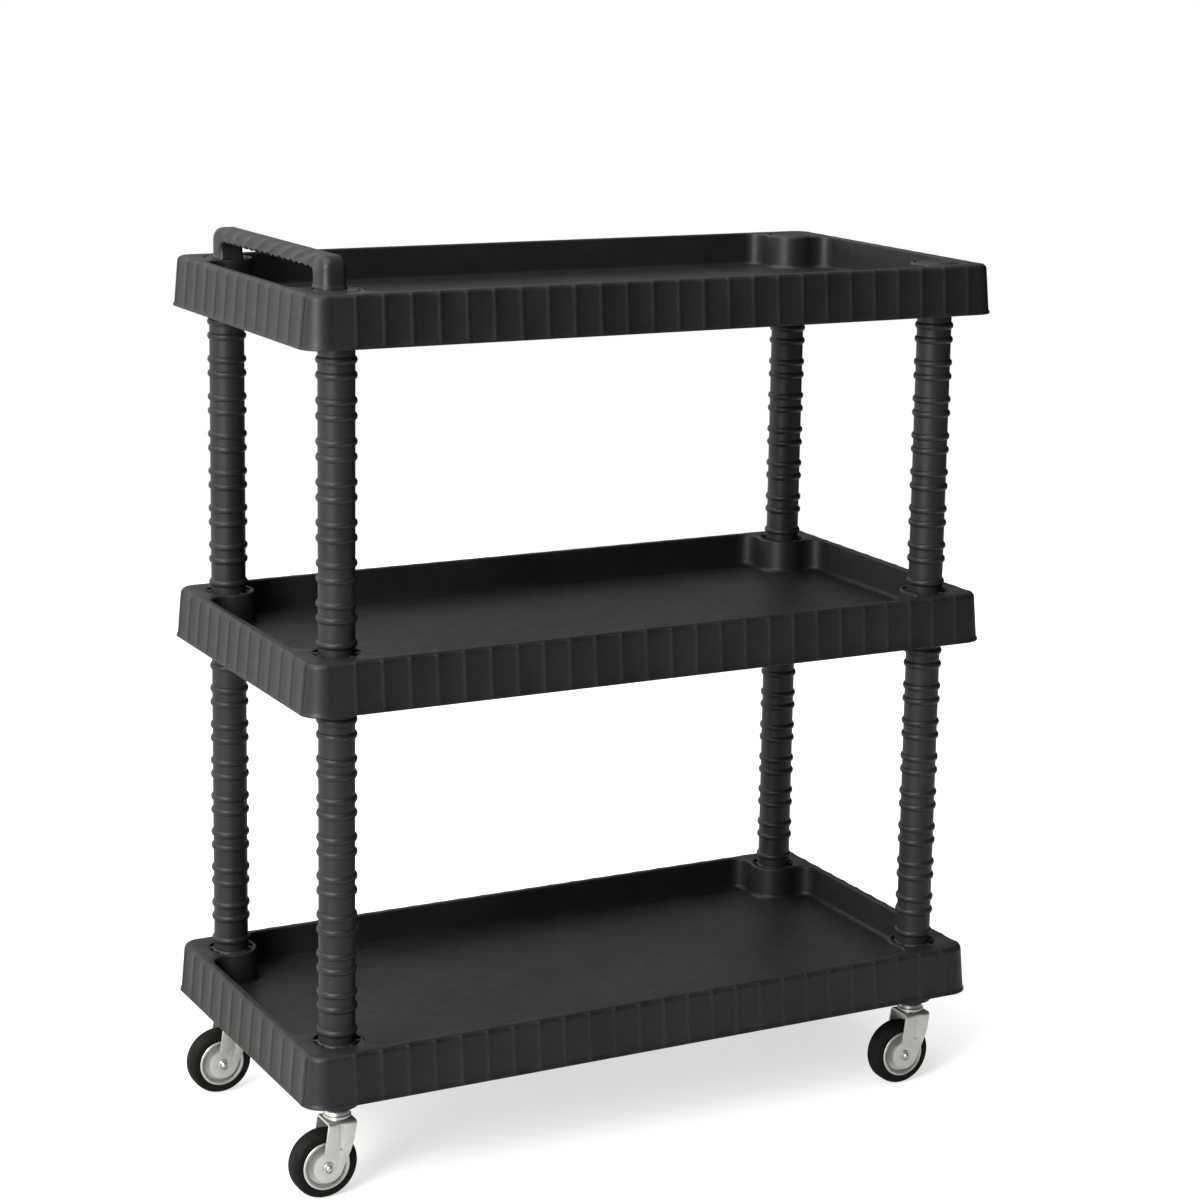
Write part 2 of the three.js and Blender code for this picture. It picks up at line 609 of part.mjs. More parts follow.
function addCasters(cart) {
  const fixed = [
    ['caster_insert', insertBody(), nylon],
    ['caster_stem', stemBody(), steel],
    ['upper_race', upperRaceBody(), zinc],
  ];
  const swivelling = [
    ['ball_ring', ballsBody(), steel],
    ['caster_fork', forkBody(), zinc],
    ['axle_bolt', boltBody(), steel],
    ['axle_nut', nutBody(), steel],
    ['axle_sleeve', sleeveBody(), steel],
  ];
  const rolling = [
    ['wheel_half_near', wheelHalfBody(-1), zinc],
    ['wheel_half_far', wheelHalfBody(1), zinc],
    ['tyre', tyreBody(), rubber],
  ];
  for (const corner of CORNERS) {
    const caster = new THREE.Group();
    const wheel = new THREE.Group();
    caster.position.set(corner.x, corner.y, 0);
    wheel.position.set(-CASTER_TRAIL, 0, WHEEL_RADIUS);
    for (const [name, body, material] of [...fixed, ...swivelling]) {
      caster.add(part(`${name}_${corner.name}`, body, material()));
    }
    for (const [name, body, material] of rolling) {
      wheel.add(part(`${name}_${corner.name}`, body, material()));
    }
    caster.add(wheel);
    cart.add(caster);
  }
}

// ---- Assembly -------------------------------------------------------------------------------

const cart = new THREE.Group();
cart.name = 'tool_cart';
cart.position.x = CENTRING;
addTrays(cart);
addPosts(cart);
addCaps(cart);
addHandle(cart);
addCasters(cart);

export default cart;
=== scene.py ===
"""Looks of the three-shelf resin tool cart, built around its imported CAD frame.

Outlines are worked out in millimetres in a tray's or caster's own frame and turned into metres
when a mesh is made. Places come from the frame's nodes.
"""

import math

import bmesh
import bpy
from mathutils import Matrix, Vector


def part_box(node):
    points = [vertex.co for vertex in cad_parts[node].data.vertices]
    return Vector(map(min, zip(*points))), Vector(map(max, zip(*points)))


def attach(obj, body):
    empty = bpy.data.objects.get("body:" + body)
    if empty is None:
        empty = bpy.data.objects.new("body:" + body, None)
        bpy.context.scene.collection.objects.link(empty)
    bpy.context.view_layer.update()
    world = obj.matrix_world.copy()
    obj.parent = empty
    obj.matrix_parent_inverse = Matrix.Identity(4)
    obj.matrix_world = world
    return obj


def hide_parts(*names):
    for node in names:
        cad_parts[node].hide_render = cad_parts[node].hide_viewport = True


MM = 0.001

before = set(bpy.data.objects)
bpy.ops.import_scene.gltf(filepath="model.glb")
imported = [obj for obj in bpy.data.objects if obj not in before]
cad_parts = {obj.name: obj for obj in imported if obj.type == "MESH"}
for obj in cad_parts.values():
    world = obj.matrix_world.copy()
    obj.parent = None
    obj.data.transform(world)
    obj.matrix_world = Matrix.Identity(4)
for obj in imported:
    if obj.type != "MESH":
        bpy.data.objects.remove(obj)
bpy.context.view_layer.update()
scene = bpy.context.scene


# ---- Camera ---------------------------------------------------------------------------------

CAMERA_PLACE = (-1.6076, -3.1056, 1.4375)
CAMERA_YAW = 0.4869
CAMERA_PITCH = 0.1744
CAMERA_ROLL = 0.0156
CAMERA_LENS_MM = 87.02
CAMERA_SENSOR_MM = 36.0
CAMERA_SHIFT = (-0.006, -0.127)


def add_camera():
    data = bpy.data.cameras.new("camera")
    data.lens = CAMERA_LENS_MM
    data.sensor_width = CAMERA_SENSOR_MM
    data.shift_x, data.shift_y = CAMERA_SHIFT
    camera = bpy.data.objects.new("camera", data)
    turn = Matrix.Rotation(-CAMERA_YAW, 4, "Z")
    tilt = Matrix.Rotation(math.pi / 2 - CAMERA_PITCH, 4, "X")
    roll = Matrix.Rotation(CAMERA_ROLL, 4, "Z")
    camera.matrix_world = Matrix.Translation(CAMERA_PLACE) @ turn @ tilt @ roll
    scene.collection.objects.link(camera)
    scene.camera = camera


# ---- Sizes of the frame, in millimetres -----------------------------------------------------

X, Y, Z = range(3)


def box_mm(node):
    low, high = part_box(node)
    return low / MM, high / MM


def centre(node):
    low, high = box_mm(node)
    return (low + high) / 2


def half_size(node, axis):
    low, high = box_mm(node)
    return (high[axis] - low[axis]) / 2


TRAY_LEVELS = ("bottom", "middle", "top")
TRAY_X = centre("top_tray").x
TRAY_HEIGHT = 2 * half_size("top_tray", Z)
TRAY_BASES = {level: box_mm(level + "_tray")[1].z - TRAY_HEIGHT for level in TRAY_LEVELS}
BOSS_DROP = TRAY_BASES["bottom"] - box_mm("bottom_tray")[0].z

DRAFT = 5.0
HALF_X = half_size("top_tray", X) - DRAFT
HALF_Y = half_size("top_tray", Y) - DRAFT
CORNER_RADIUS = 22.0
CORNER_STEPS = 14
RIM_WIDTH = 12.0
RIM_ROUND = 6.0
RIM_STEPS = 7
PAN_DEPTH = 42.0
PAN_EDGE_ROUND = 2.5
PAN_EDGE_STEPS = 5
PAN_FLOOR_ROUND = 6.0
PAN_FLOOR_STEPS = 6
WALL = 4.0
UNDER_DEPTH = 26.0

# The skirt's lower lip: how far outside the drafted face's foot, the height, the share of relief.
LIP = ((0.8 - WALL, 0.3, 0.0), (-1.2, 0.0, 0.0), (0.6, 0.1, 0.0), (1.2, 0.8, 0.2), (1.1, 2.4, 0.4))
LIP_TOP = (0.25, 4.0, 0.8)
LIP_INSIDE = 2.0
FACE_HEIGHTS = (6.0, 20.0, 36.0, TRAY_HEIGHT - 9.0)

# The round between the pan's outer wall and its underside: inset and rise.
UNDER_ROUND = ((0.0, 3.0), (1.0, 0.8), (3.0, 0.0))

CORNERS = ("front_left", "front_right", "back_left", "back_right")
POST_PLACES = {corner: centre("lower_post_" + corner) for corner in CORNERS}
POST_X = abs(POST_PLACES["front_right"].x - TRAY_X)
POST_Y = abs(POST_PLACES["front_right"].y)
POST_RADIUS = half_size("lower_post_front_left", X)
POST_WALL = 3.5
POST_CLEARANCE = 0.4

RIDGE_PITCH = 100.0 / 3
RIDGE_SPAN = {"long": 400.0, "short": 200.0}
RIDGE_SHIFT = 7.5
RIDGE_HEIGHT = 1.0
RIDGE_HALF = 4.2
RIDGE_STEPS = 4
PANEL_SAG = 1.15
PANEL_COLUMNS = (0.19, 0.33, 0.5, 0.67, 0.81)

PILLAR_RADIUS = 32.0
PILLAR_STEPS = 16
PAN_FILLET = 20.0
PAN_FILLET_STEPS = 12
GROOVE_OUTER = 27.6
GROOVE_INNER = 25.2
GROOVE_DEPTH = 9.0
GROOVE_TABS = 8
TAB_WIDTH = 3.2

CAP_SEAT_RADIUS = 21.8
CAP_SEAT_DEPTH = 3.2
CAP_PLUG_RADIUS = 16.0
CAP_CROWN = 1.0

BOSS_RADIUS = 25.3
BOSS_ROUND = 1.2
SOCKET_BOTTOM = 0.4
CASTER_BORE = 9.3

RIBS_ALONG = (-75.0, 75.0)
RIBS_ACROSS = (-240.0, 0.0, 240.0)
RIB_WIDTH = 3.0
RIB_BOTTOM = 2.0
RIB_OVERLAP = 1.0

BEAD_FIRST = (17.3, 34.6)
BEAD_PERIOD = 45.8
BEAD_HEIGHT = 2.5
BEAD_HALF = 4.2
BEAD_STEPS = 6
BEAD_SHARPNESS = 1.3


# ---- Mesh tools -----------------------------------------------------------------------------

LONGEST_ROUND = 0.45


def arc(x, y, radius, start, end, steps):
    """Points on an arc, both ends included."""
    turns = [start + (end - start) * i / steps for i in range(steps + 1)]
    return [(x + radius * math.cos(t), y + radius * math.sin(t)) for t in turns]


def ring(bm, points):
    return [bm.verts.new(point) for point in points]


def circle(bm, x, y, radius, z, sides):
    turns = [2 * math.pi * i / sides for i in range(sides)]
    return ring(bm, [(x + radius * math.cos(t), y + radius * math.sin(t), z) for t in turns])


def bridge(bm, first, second):
    """Joins two rings of the same count by quads and returns the second."""
    count = len(first)
    for i in range(count):
        j = (i + 1) % count
        bm.faces.new((first[i], first[j], second[j], second[i]))
    return second


def fill(bm, rings):
    """Closes the flat area between rings of edges, holes included."""
    edges = []
    for loop in rings:
        for i, vert in enumerate(loop):
            pair = (vert, loop[(i + 1) % len(loop)])
            edges.append(bm.edges.get(pair) or bm.edges.new(pair))
    bmesh.ops.triangle_fill(bm, use_beauty=True, edges=edges)


def soften(points, radius=0.0, steps=4):
    """Rounds the corners of a closed profile, each by at most a share of its shorter edge.

    A point may carry its own radius as a third value."""
    count = len(points)
    result = []
    for i, point in enumerate(points):
        here = Vector(point[:2])
        before = Vector(points[i - 1][:2]) - here
        after = Vector(points[(i + 1) % count][:2]) - here
        own = point[2] if len(point) > 2 else radius
        reach = min(own, LONGEST_ROUND * before.length, LONGEST_ROUND * after.length)
        if reach <= 0:
            result.append(here)
            continue
        start = here + before.normalized() * reach
        end = here + after.normalized() * reach
        for step in range(steps + 1):
            t = step / steps
            result.append(start * (1 - t) ** 2 + here * 2 * t * (1 - t) + end * t * t)
    return result


def join(bm, rings, capped=True):
    """Bridges rings in a row, and closes the first and the last with a face each."""
    for first, second in zip(rings, rings[1:]):
        bridge(bm, first, second)
    if capped:
        bm.faces.new(rings[0])
        bm.faces.new(rings[-1])


def turned_rings(bm, profile, axis, place, sides):
    """A ring about the Y or Z axis for each (radius, along) pair of a profile."""
    rings = []
    for radius, along in profile:
        points = []
        for i in range(sides):
            turn = 2 * math.pi * i / sides
            x, y = radius * math.cos(turn), radius * math.sin(turn)
            point = Vector((x, y, along) if axis == "Z" else (x, along, y))
            points.append(point + Vector(place))
        rings.append(ring(bm, points))
    return rings


def add_turned(bm, profile, axis="Z", place=(0, 0, 0), sides=64):
    """Adds a hollow solid of revolution from a closed profile clear of the axis."""
    rings = turned_rings(bm, profile, axis, place, sides)
    join(bm, rings + rings[:1], capped=False)


def add_plug(bm, profile, axis="Z", place=(0, 0, 0), sides=48):
    """Adds a full solid of revolution whose open profile is closed by a flat face at each end."""
    join(bm, turned_rings(bm, profile, axis, place, sides))


def add_bar(bm, start, end, width, bottom, top, chamfer=0.5):
    """Adds an upright bar between two plan points, with its long top edges chamfered."""
    along = (Vector(end) - Vector(start)).normalized()
    across = Vector((-along.y, along.x))
    half = width / 2
    section = [(-half, bottom), (half, bottom), (half, top - chamfer)]
    section += [(half - chamfer, top), (chamfer - half, top), (-half, top - chamfer)]
    ends = []
    for place in (start, end):
        points = [(*(Vector(place) + across * side), height) for side, height in section]
        ends.append(ring(bm, points))
    join(bm, ends)


def finish_mesh(bm, name, sharp_degrees=35):
    """Turns millimetres into a smooth-shaded mesh in metres."""
    bmesh.ops.recalc_face_normals(bm, faces=bm.faces)
    bmesh.ops.scale(bm, verts=bm.verts, vec=(MM, MM, MM))
    mesh = bpy.data.meshes.new(name)
    bm.to_mesh(mesh)
    bm.free()
    mesh.polygons.foreach_set("use_smooth", [True] * len(mesh.polygons))
    mesh.set_sharp_from_angle(angle=math.radians(sharp_degrees))
    return mesh


def add_piece(name, mesh, material, body, node, place):
    """Shows a mesh in place of a CAD node, riding on the node's body. Pieces may share a mesh."""
    piece = bpy.data.objects.new(name, mesh)
    scene.collection.objects.link(piece)
    piece.location = Vector(place) * MM
    if not mesh.materials:
        mesh.materials.append(material)
    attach(piece, body)
    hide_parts(node)


# ---- Materials ------------------------------------------------------------------------------

WHITE = (1.0, 1.0, 1.0)
DUST = (0.105, 0.100, 0.092)
PLATING_SPECK = (0.16, 0.155, 0.14)
RUBBER_BLACK = (0.0045, 0.0045, 0.0045)
RUBBER_DIRT = (0.015, 0.0145, 0.013)
NYLON_DARK = (0.030, 0.030, 0.030)
NYLON_PALE = (0.055, 0.054, 0.052)
FLOOR_DARK = (0.49, 0.49, 0.49)
FLOOR_PALE = (0.51, 0.51, 0.51)


class Material:
    """A node material around one Principled shader."""

    def __init__(self, name, **constants):
        self.material = bpy.data.materials.new(name)
        self.material.use_nodes = True
        self.nodes = self.material.node_tree.nodes
        self.links = self.material.node_tree.links
        self.shader = self.nodes["Principled BSDF"]
        for socket, value in constants.items():
            self.shader.inputs[socket.replace("_", " ")].default_value = value
        self.place = self.nodes.new("ShaderNodeTexCoord").outputs["Object"]

    def noise(self, scale, detail=3.0, roughness=0.55, stretch=None):
        """Noise in object space, averaging 0.5. `stretch` scales it axis by axis."""
        node = self.nodes.new("ShaderNodeTexNoise")
        node.inputs["Scale"].default_value = scale
        node.inputs["Detail"].default_value = detail
        node.inputs["Roughness"].default_value = roughness
        place = self.place
        if stretch:
            mapping = self.nodes.new("ShaderNodeMapping")
            mapping.inputs["Scale"].default_value = stretch
            self.links.new(place, mapping.inputs["Vector"])
            place = mapping.outputs["Vector"]
        self.links.new(place, node.inputs["Vector"])
        return node.outputs["Fac"]

    def spread(self, value, low, high, to_low=0.0, to_high=1.0):
        """Maps the span from `low` to `high` onto another, clamped at both ends."""
        node = self.nodes.new("ShaderNodeMapRange")
        node.inputs["From Min"].default_value = low
        node.inputs["From Max"].default_value = high
        node.inputs["To Min"].default_value = to_low
        node.inputs["To Max"].default_value = to_high
        self.links.new(value, node.inputs["Value"])
        return node.outputs["Result"]

    def share(self, value, part):
        """A fraction of a value that lies between 0 and 1."""
        return self.spread(value, 0.0, 1.0, to_high=part)

    def times(self, first, second):
        node = self.nodes.new("ShaderNodeMath")
        node.operation = "MULTIPLY"
        self.links.new(first, node.inputs[0])
        self.links.new(second, node.inputs[1])
        return node.outputs["Value"]

    def mix(self, factor, first, second):
        """Blends two colours, each a tuple or a socket."""
        node = self.nodes.new("ShaderNodeMix")
        node.data_type = "RGBA"
        self.links.new(factor, node.inputs["Factor"])
        for socket, colour in ((node.inputs["A"], first), (node.inputs["B"], second)):
            if isinstance(colour, tuple):
                socket.default_value = (*colour, 1.0)
            else:
                self.links.new(colour, socket)
        return node.outputs["Result"]

    def upward(self):
        """1 on faces that look up, 0 on upright ones and undersides."""
        geometry = self.nodes.new("ShaderNodeNewGeometry")
        split = self.nodes.new("ShaderNodeSeparateXYZ")
        self.links.new(geometry.outputs["Normal"], split.inputs["Vector"])
        return self.spread(split.outputs["Z"], 0.55, 0.95)

    def edges(self):
        """Grows on convex edges."""
        geometry = self.nodes.new("ShaderNodeNewGeometry")
        return self.spread(geometry.outputs["Pointiness"], 0.52, 0.62)

    def bump(self, height, distance, strength, below=None):
        """A normal from a height in metres, laid over another normal when `below` is given."""
        node = self.nodes.new("ShaderNodeBump")
        node.inputs["Strength"].default_value = strength
        node.inputs["Distance"].default_value = distance
        self.links.new(height, node.inputs["Height"])
        if below is not None:
            self.links.new(below, node.inputs["Normal"])
        return node.outputs["Normal"]

    def drive(self, socket, value):
        """Links a value to the shader's socket."""
        self.links.new(value, self.shader.inputs[socket])


def resin_material(name, tone, roughness, grain):
    """Matte black moulded resin: fine grain, faint flow marks, scuffs, dust on what looks up."""
    m = Material(name, Specular_IOR_Level=0.27, IOR=1.5)
    dark = tuple(0.78 * c for c in tone)
    pale = tuple(1.25 * c for c in tone)
    scuffed = tuple(3.2 * c + 0.006 for c in tone)
    worn = tuple(2.4 * c + 0.004 for c in tone)
    flow_marks = m.spread(m.noise(9.0, 4.0), 0.35, 0.65)
    colour = m.mix(flow_marks, dark, pale)
    scuff_lines = m.spread(m.noise(38.0, 6.0, 0.7, stretch=(1.0, 1.0, 5.0)), 0.66, 0.74)
    scuff_areas = m.spread(m.noise(5.0, 2.0), 0.5, 0.66)
    scuffs = m.times(scuff_lines, scuff_areas)
    colour = m.mix(m.share(scuffs, 0.5), colour, scuffed)
    colour = m.mix(m.share(m.edges(), 0.30), colour, worn)
    dust = m.times(m.upward(), m.spread(m.noise(24.0, 8.0, 0.75), 0.42, 0.8, to_high=0.09))
    colour = m.mix(dust, colour, DUST)
    m.drive("Base Color", colour)
    shine = m.noise(60.0, 5.0, 0.7)
    m.drive("Roughness", m.spread(shine, 0.3, 0.7, roughness - 0.05, roughness + 0.07))
    grains = m.bump(m.noise(grain, 2.0, 0.6), 0.00010, 0.55)
    m.drive("Normal", m.bump(m.noise(7.0, 3.0), 0.0012, 0.25, below=grains))
    return m.material


def zinc_material(name, tone, roughness):
    """Pressed sheet with bright zinc plating, slightly clouded and yellowed."""
    m = Material(name, Metallic=0.85)
    dark = tuple(0.84 * c for c in tone)
    yellowed = (tone[0] * 0.9, tone[1] * 0.86, tone[2] * 0.70)
    cloud = m.spread(m.noise(55.0, 6.0, 0.65), 0.32, 0.68)
    colour = m.mix(cloud, dark, tone)
    tarnish = m.spread(m.noise(19.0, 4.0), 0.48, 0.75, to_high=0.30)
    colour = m.mix(tarnish, colour, yellowed)
    specks = m.spread(m.noise(420.0, 2.0), 0.68, 0.76, to_high=0.5)
    colour = m.mix(specks, colour, PLATING_SPECK)
    m.drive("Base Color", colour)
    shine = m.noise(130.0, 5.0, 0.7)
    m.drive("Roughness", m.spread(shine, 0.3, 0.7, roughness - 0.08, roughness + 0.1))
    rolled = m.bump(m.noise(240.0, 3.0, 0.6, stretch=(1.0, 1.0, 0.15)), 0.00006, 0.5)
    m.drive("Normal", m.bump(m.noise(30.0, 2.0), 0.0004, 0.3, below=rolled))
    return m.material


def rubber_material(name):
    """Solid black tyre rubber with a dusty, slightly pitted tread."""
    m = Material(name, Specular_IOR_Level=0.10)
    dirt = m.spread(m.noise(70.0, 7.0, 0.75), 0.45, 0.72, to_high=0.6)
    m.drive("Base Color", m.mix(dirt, RUBBER_BLACK, RUBBER_DIRT))
    m.drive("Roughness", m.spread(m.noise(90.0, 5.0), 0.3, 0.7, 0.62, 0.86))
    pits = m.bump(m.noise(900.0, 3.0), 0.00012, 0.5)
    m.drive("Normal", m.bump(m.noise(45.0, 3.0), 0.0005, 0.3, below=pits))
    return m.material


def nylon_material(name):
    """Dark moulded nylon with a soft sheen."""
    m = Material(name, Specular_IOR_Level=0.4)
    cloud = m.spread(m.noise(80.0, 4.0), 0.35, 0.65)
    m.drive("Base Color", m.mix(cloud, NYLON_DARK, NYLON_PALE))
    m.drive("Roughness", m.spread(m.noise(150.0, 3.0), 0.3, 0.7, 0.38, 0.52))
    m.drive("Normal", m.bump(m.noise(700.0, 2.0), 0.00006, 0.4))
    return m.material


def floor_material():
    """Pale paint that glows to the camera, so that the floor runs into the white backdrop."""
    m = Material("floor_paint", Roughness=0.6, Specular_IOR_Level=0.2)
    m.shader.inputs["Emission Color"].default_value = (*WHITE, 1.0)
    seen = m.nodes.new("ShaderNodeLightPath").outputs["Is Camera Ray"]
    m.drive("Emission Strength", m.spread(seen, 0.0, 1.0, FLOOR_GLOW_UNSEEN, FLOOR_GLOW))
    cloud = m.spread(m.noise(0.8, 2.0), 0.3, 0.7)
    m.drive("Base Color", m.mix(cloud, FLOOR_DARK, FLOOR_PALE))
    return m.material


TRAY_RESIN = resin_material("tray_resin", (0.0085, 0.0085, 0.0088), 0.46, 950.0)
POST_RESIN = resin_material("post_resin", (0.0105, 0.0105, 0.0107), 0.46, 1200.0)
HANDLE_RESIN = resin_material("handle_resin", (0.0100, 0.0100, 0.0100), 0.42, 1100.0)
ZINC = zinc_material("zinc_plate", (0.62, 0.622, 0.60), 0.40)
STEEL = zinc_material("bright_steel", (0.56, 0.56, 0.545), 0.30)
RUBBER = rubber_material("tyre_rubber")
NYLON = nylon_material("nylon")


# ---- Trays ----------------------------------------------------------------------------------


def ridge_relief(along, span):
    """How far the skirt stands out along a side: thin ridges between hollow panels."""
    if abs(along) > span + RIDGE_HALF:
        return 0.0
    steps = (along + span) / RIDGE_PITCH
    from_ridge = abs(steps - round(steps)) * RIDGE_PITCH
    ridge = RIDGE_HEIGHT * max(0.0, 1 - (from_ridge / RIDGE_HALF) ** 2) ** 2
    sag = PANEL_SAG * math.sin(math.pi * steps) ** 2 if abs(along) < span else 0.0
    return ridge - sag


def side_stations(straight, span):
    """Distances along a side where the skirt needs a column of vertices."""
    stations = [-straight]
    near = [RIDGE_HALF * step / RIDGE_STEPS for step in range(-RIDGE_STEPS, RIDGE_STEPS + 1)]
    ridges = round(2 * span / RIDGE_PITCH) + 1
    for k in range(ridges):
        here = -span + k * RIDGE_PITCH
        stations.extend(here + offset for offset in near)
        if k < ridges - 1:
            stations.extend(here + part * RIDGE_PITCH for part in PANEL_COLUMNS)
    stations.append(straight)
    return stations


def skirt_stations():
    """Columns round the skirt at its top: place, outward direction, relief. Counter-clockwise."""
    columns = []
    for side in range(4):
        turn = side * math.pi / 2
        along = Vector((round(math.cos(turn)), round(math.sin(turn))))
        out = Vector((along.y, -along.x))
        is_long = side % 2 == 0
        half_along, half_out = (HALF_X, HALF_Y) if is_long else (HALF_Y, HALF_X)
        span = RIDGE_SPAN["long" if is_long else "short"]
        straight = half_along - CORNER_RADIUS
        for distance in side_stations(straight, span):
            on_ridges = abs(distance) < span + RIDGE_PITCH / 4
            spot = distance + (RIDGE_SHIFT * along.x if on_ridges else 0.0)
            columns.append((along * spot + out * half_out, out, ridge_relief(distance, span)))
        middle = along * straight + out * (half_out - CORNER_RADIUS)
        start = turn - math.pi / 2
        for i in range(1, CORNER_STEPS):
            angle = start + math.pi / 2 * i / CORNER_STEPS
            away = Vector((math.cos(angle), math.sin(angle)))
            columns.append((middle + away * CORNER_RADIUS, away, 0.0))
    return columns


def skirt_profile():
    """From inside the skirt, round its lower lip, up the outside and over the rim.

    Each entry is how far out from the top outline, the height, and how much relief shows."""

    def lean(height):
        return DRAFT * (1 - height / TRAY_HEIGHT)

    entries = [(lean(height) - WALL, height, 0.0) for height in (UNDER_DEPTH, LIP_INSIDE)]
    entries += [(DRAFT + out, height, relief) for out, height, relief in LIP]
    out, height, relief = LIP_TOP
    entries.append((lean(height) + out, height, relief))
    entries += [(lean(height), height, 1.0) for height in FACE_HEIGHTS]
    shoulder = TRAY_HEIGHT - RIM_ROUND
    for i in range(RIM_STEPS + 1):
        angle = math.pi / 2 * i / RIM_STEPS
        relief = math.sqrt(math.cos(angle)) if i < RIM_STEPS else 0.0
        out = lean(shoulder) - RIM_ROUND + RIM_ROUND * math.cos(angle)
        entries.append((out, shoulder + RIM_ROUND * math.sin(angle), relief))
    return entries


def pan_outline(offset):
    """The pan's outline, grown by `offset`: a rectangle that bends in round the post pillars."""
    half_x = HALF_X - RIM_WIDTH + offset
    half_y = HALF_Y - RIM_WIDTH + offset
    pillar = PILLAR_RADIUS - offset
    fillet = PAN_FILLET + offset
    reach = pillar + fillet
    end_x = half_x - fillet
    end_y = POST_Y - math.sqrt(reach ** 2 - (end_x - POST_X) ** 2)
    side_y = half_y - fillet
    side_x = POST_X - math.sqrt(reach ** 2 - (side_y - POST_Y) ** 2)
    end_angle = math.atan2(POST_Y - end_y, POST_X - end_x)
    side_angle = math.atan2(POST_Y - side_y, POST_X - side_x)
    around = (end_angle + math.pi, side_angle + math.pi)
    quarter = arc(end_x, end_y, fillet, 0.0, end_angle, PAN_FILLET_STEPS)
    quarter += arc(POST_X, POST_Y, pillar, *around, PILLAR_STEPS)[1:]
    quarter += arc(side_x, side_y, fillet, side_angle, math.pi / 2, PAN_FILLET_STEPS)[1:]
    outline = []
    for sign_x, sign_y in ((1, 1), (-1, 1), (-1, -1), (1, -1)):
        points = [(x * sign_x, y * sign_y) for x, y in quarter]
        outline += points if sign_x * sign_y > 0 else points[::-1]
    return outline


def pan_ring(bm, offset, height):
    return ring(bm, [(x, y, height) for x, y in pan_outline(offset)])


def add_pan(bm, edge):
    """The pan's wall from its rounded edge down to the filleted floor."""
    floor = TRAY_HEIGHT - PAN_DEPTH
    loop = edge
    for i in range(1, PAN_EDGE_STEPS + 1):
        angle = math.pi / 2 * i / PAN_EDGE_STEPS
        out = PAN_EDGE_ROUND * (1 - math.sin(angle))
        drop = PAN_EDGE_ROUND * (1 - math.cos(angle))
        loop = bridge(bm, loop, pan_ring(bm, out, TRAY_HEIGHT - drop))
    for i in range(PAN_FLOOR_STEPS + 1):
        angle = math.pi / 2 * i / PAN_FLOOR_STEPS
        inward = PAN_FLOOR_ROUND * (1 - math.cos(angle))
        height = floor + PAN_FLOOR_ROUND * (1 - math.sin(angle))
        loop = bridge(bm, loop, pan_ring(bm, -inward, height))
    fill(bm, [loop])


def add_under_pan(bm, inside):
    """The ceiling behind the skirt, the pan's outer wall, its underside and the ribs there."""
    under = TRAY_HEIGHT - PAN_DEPTH - WALL
    loop = pan_ring(bm, WALL, UNDER_DEPTH)
    fill(bm, [inside, loop])
    for inset, rise in UNDER_ROUND:
        loop = bridge(bm, loop, pan_ring(bm, WALL - inset, under + rise))
    fill(bm, [loop])
    ribs = [((-HALF_X, y), (HALF_X, y)) for y in RIBS_ALONG]
    ribs += [((x, -HALF_Y), (x, HALF_Y)) for x in RIBS_ACROSS]
    for start, end in ribs:
        add_bar(bm, start, end, RIB_WIDTH, RIB_BOTTOM, under + RIB_OVERLAP)


def add_corner(bm, level, x, y, mouth):
    """One corner deck's ring groove, its tabs and the socket or seat inside it."""
    sides = len(mouth)
    bottom = TRAY_HEIGHT - GROOVE_DEPTH
    steps = [(GROOVE_OUTER + 0.2, TRAY_HEIGHT - 0.15), (GROOVE_OUTER, TRAY_HEIGHT - 0.7)]
    steps += [(GROOVE_OUTER, bottom + 0.6), (GROOVE_OUTER - 0.6, bottom)]
    inner = POST_RADIUS + POST_CLEARANCE
    if level == "top":
        inner = GROOVE_INNER - 0.2
        steps += [(GROOVE_INNER + 0.4, bottom), (GROOVE_INNER, bottom + 0.5)]
        steps += [(GROOVE_INNER, TRAY_HEIGHT - 0.7), (GROOVE_INNER - 0.6, TRAY_HEIGHT)]
        if x > 0:
            steps += [(CAP_SEAT_RADIUS + 0.4, TRAY_HEIGHT), (CAP_SEAT_RADIUS, TRAY_HEIGHT - 0.4)]
            steps.append((CAP_SEAT_RADIUS, TRAY_HEIGHT - CAP_SEAT_DEPTH))
    else:
        steps += [(inner, bottom), (inner, TRAY_HEIGHT / 2)]
    loop = mouth
    for radius, height in steps:
        loop = bridge(bm, loop, circle(bm, x, y, radius, height, sides))
    fill(bm, [loop])
    for i in range(GROOVE_TABS):
        angle = 2 * math.pi * (i + 0.5) / GROOVE_TABS
        away = Vector((math.cos(angle), math.sin(angle)))
        start = Vector((x, y)) + away * inner
        end = Vector((x, y)) + away * (GROOVE_OUTER + 0.3)
        add_bar(bm, start, end, TAB_WIDTH, bottom - 0.5, TRAY_HEIGHT - 0.25, chamfer=0.4)


def add_lower_boss(bm, level, x, y):
    """The socket wall under a corner: open for a post, or long and thick for a caster."""
    inner, bottom = POST_RADIUS + POST_CLEARANCE, SOCKET_BOTTOM
    if level == "bottom":
        inner, bottom = CASTER_BORE, -BOSS_DROP
    top = UNDER_DEPTH + 1
    profile = [(inner, bottom), (BOSS_RADIUS, bottom), (BOSS_RADIUS, top), (inner, top)]
    add_turned(bm, soften(profile, BOSS_ROUND), place=(x, y, 0))


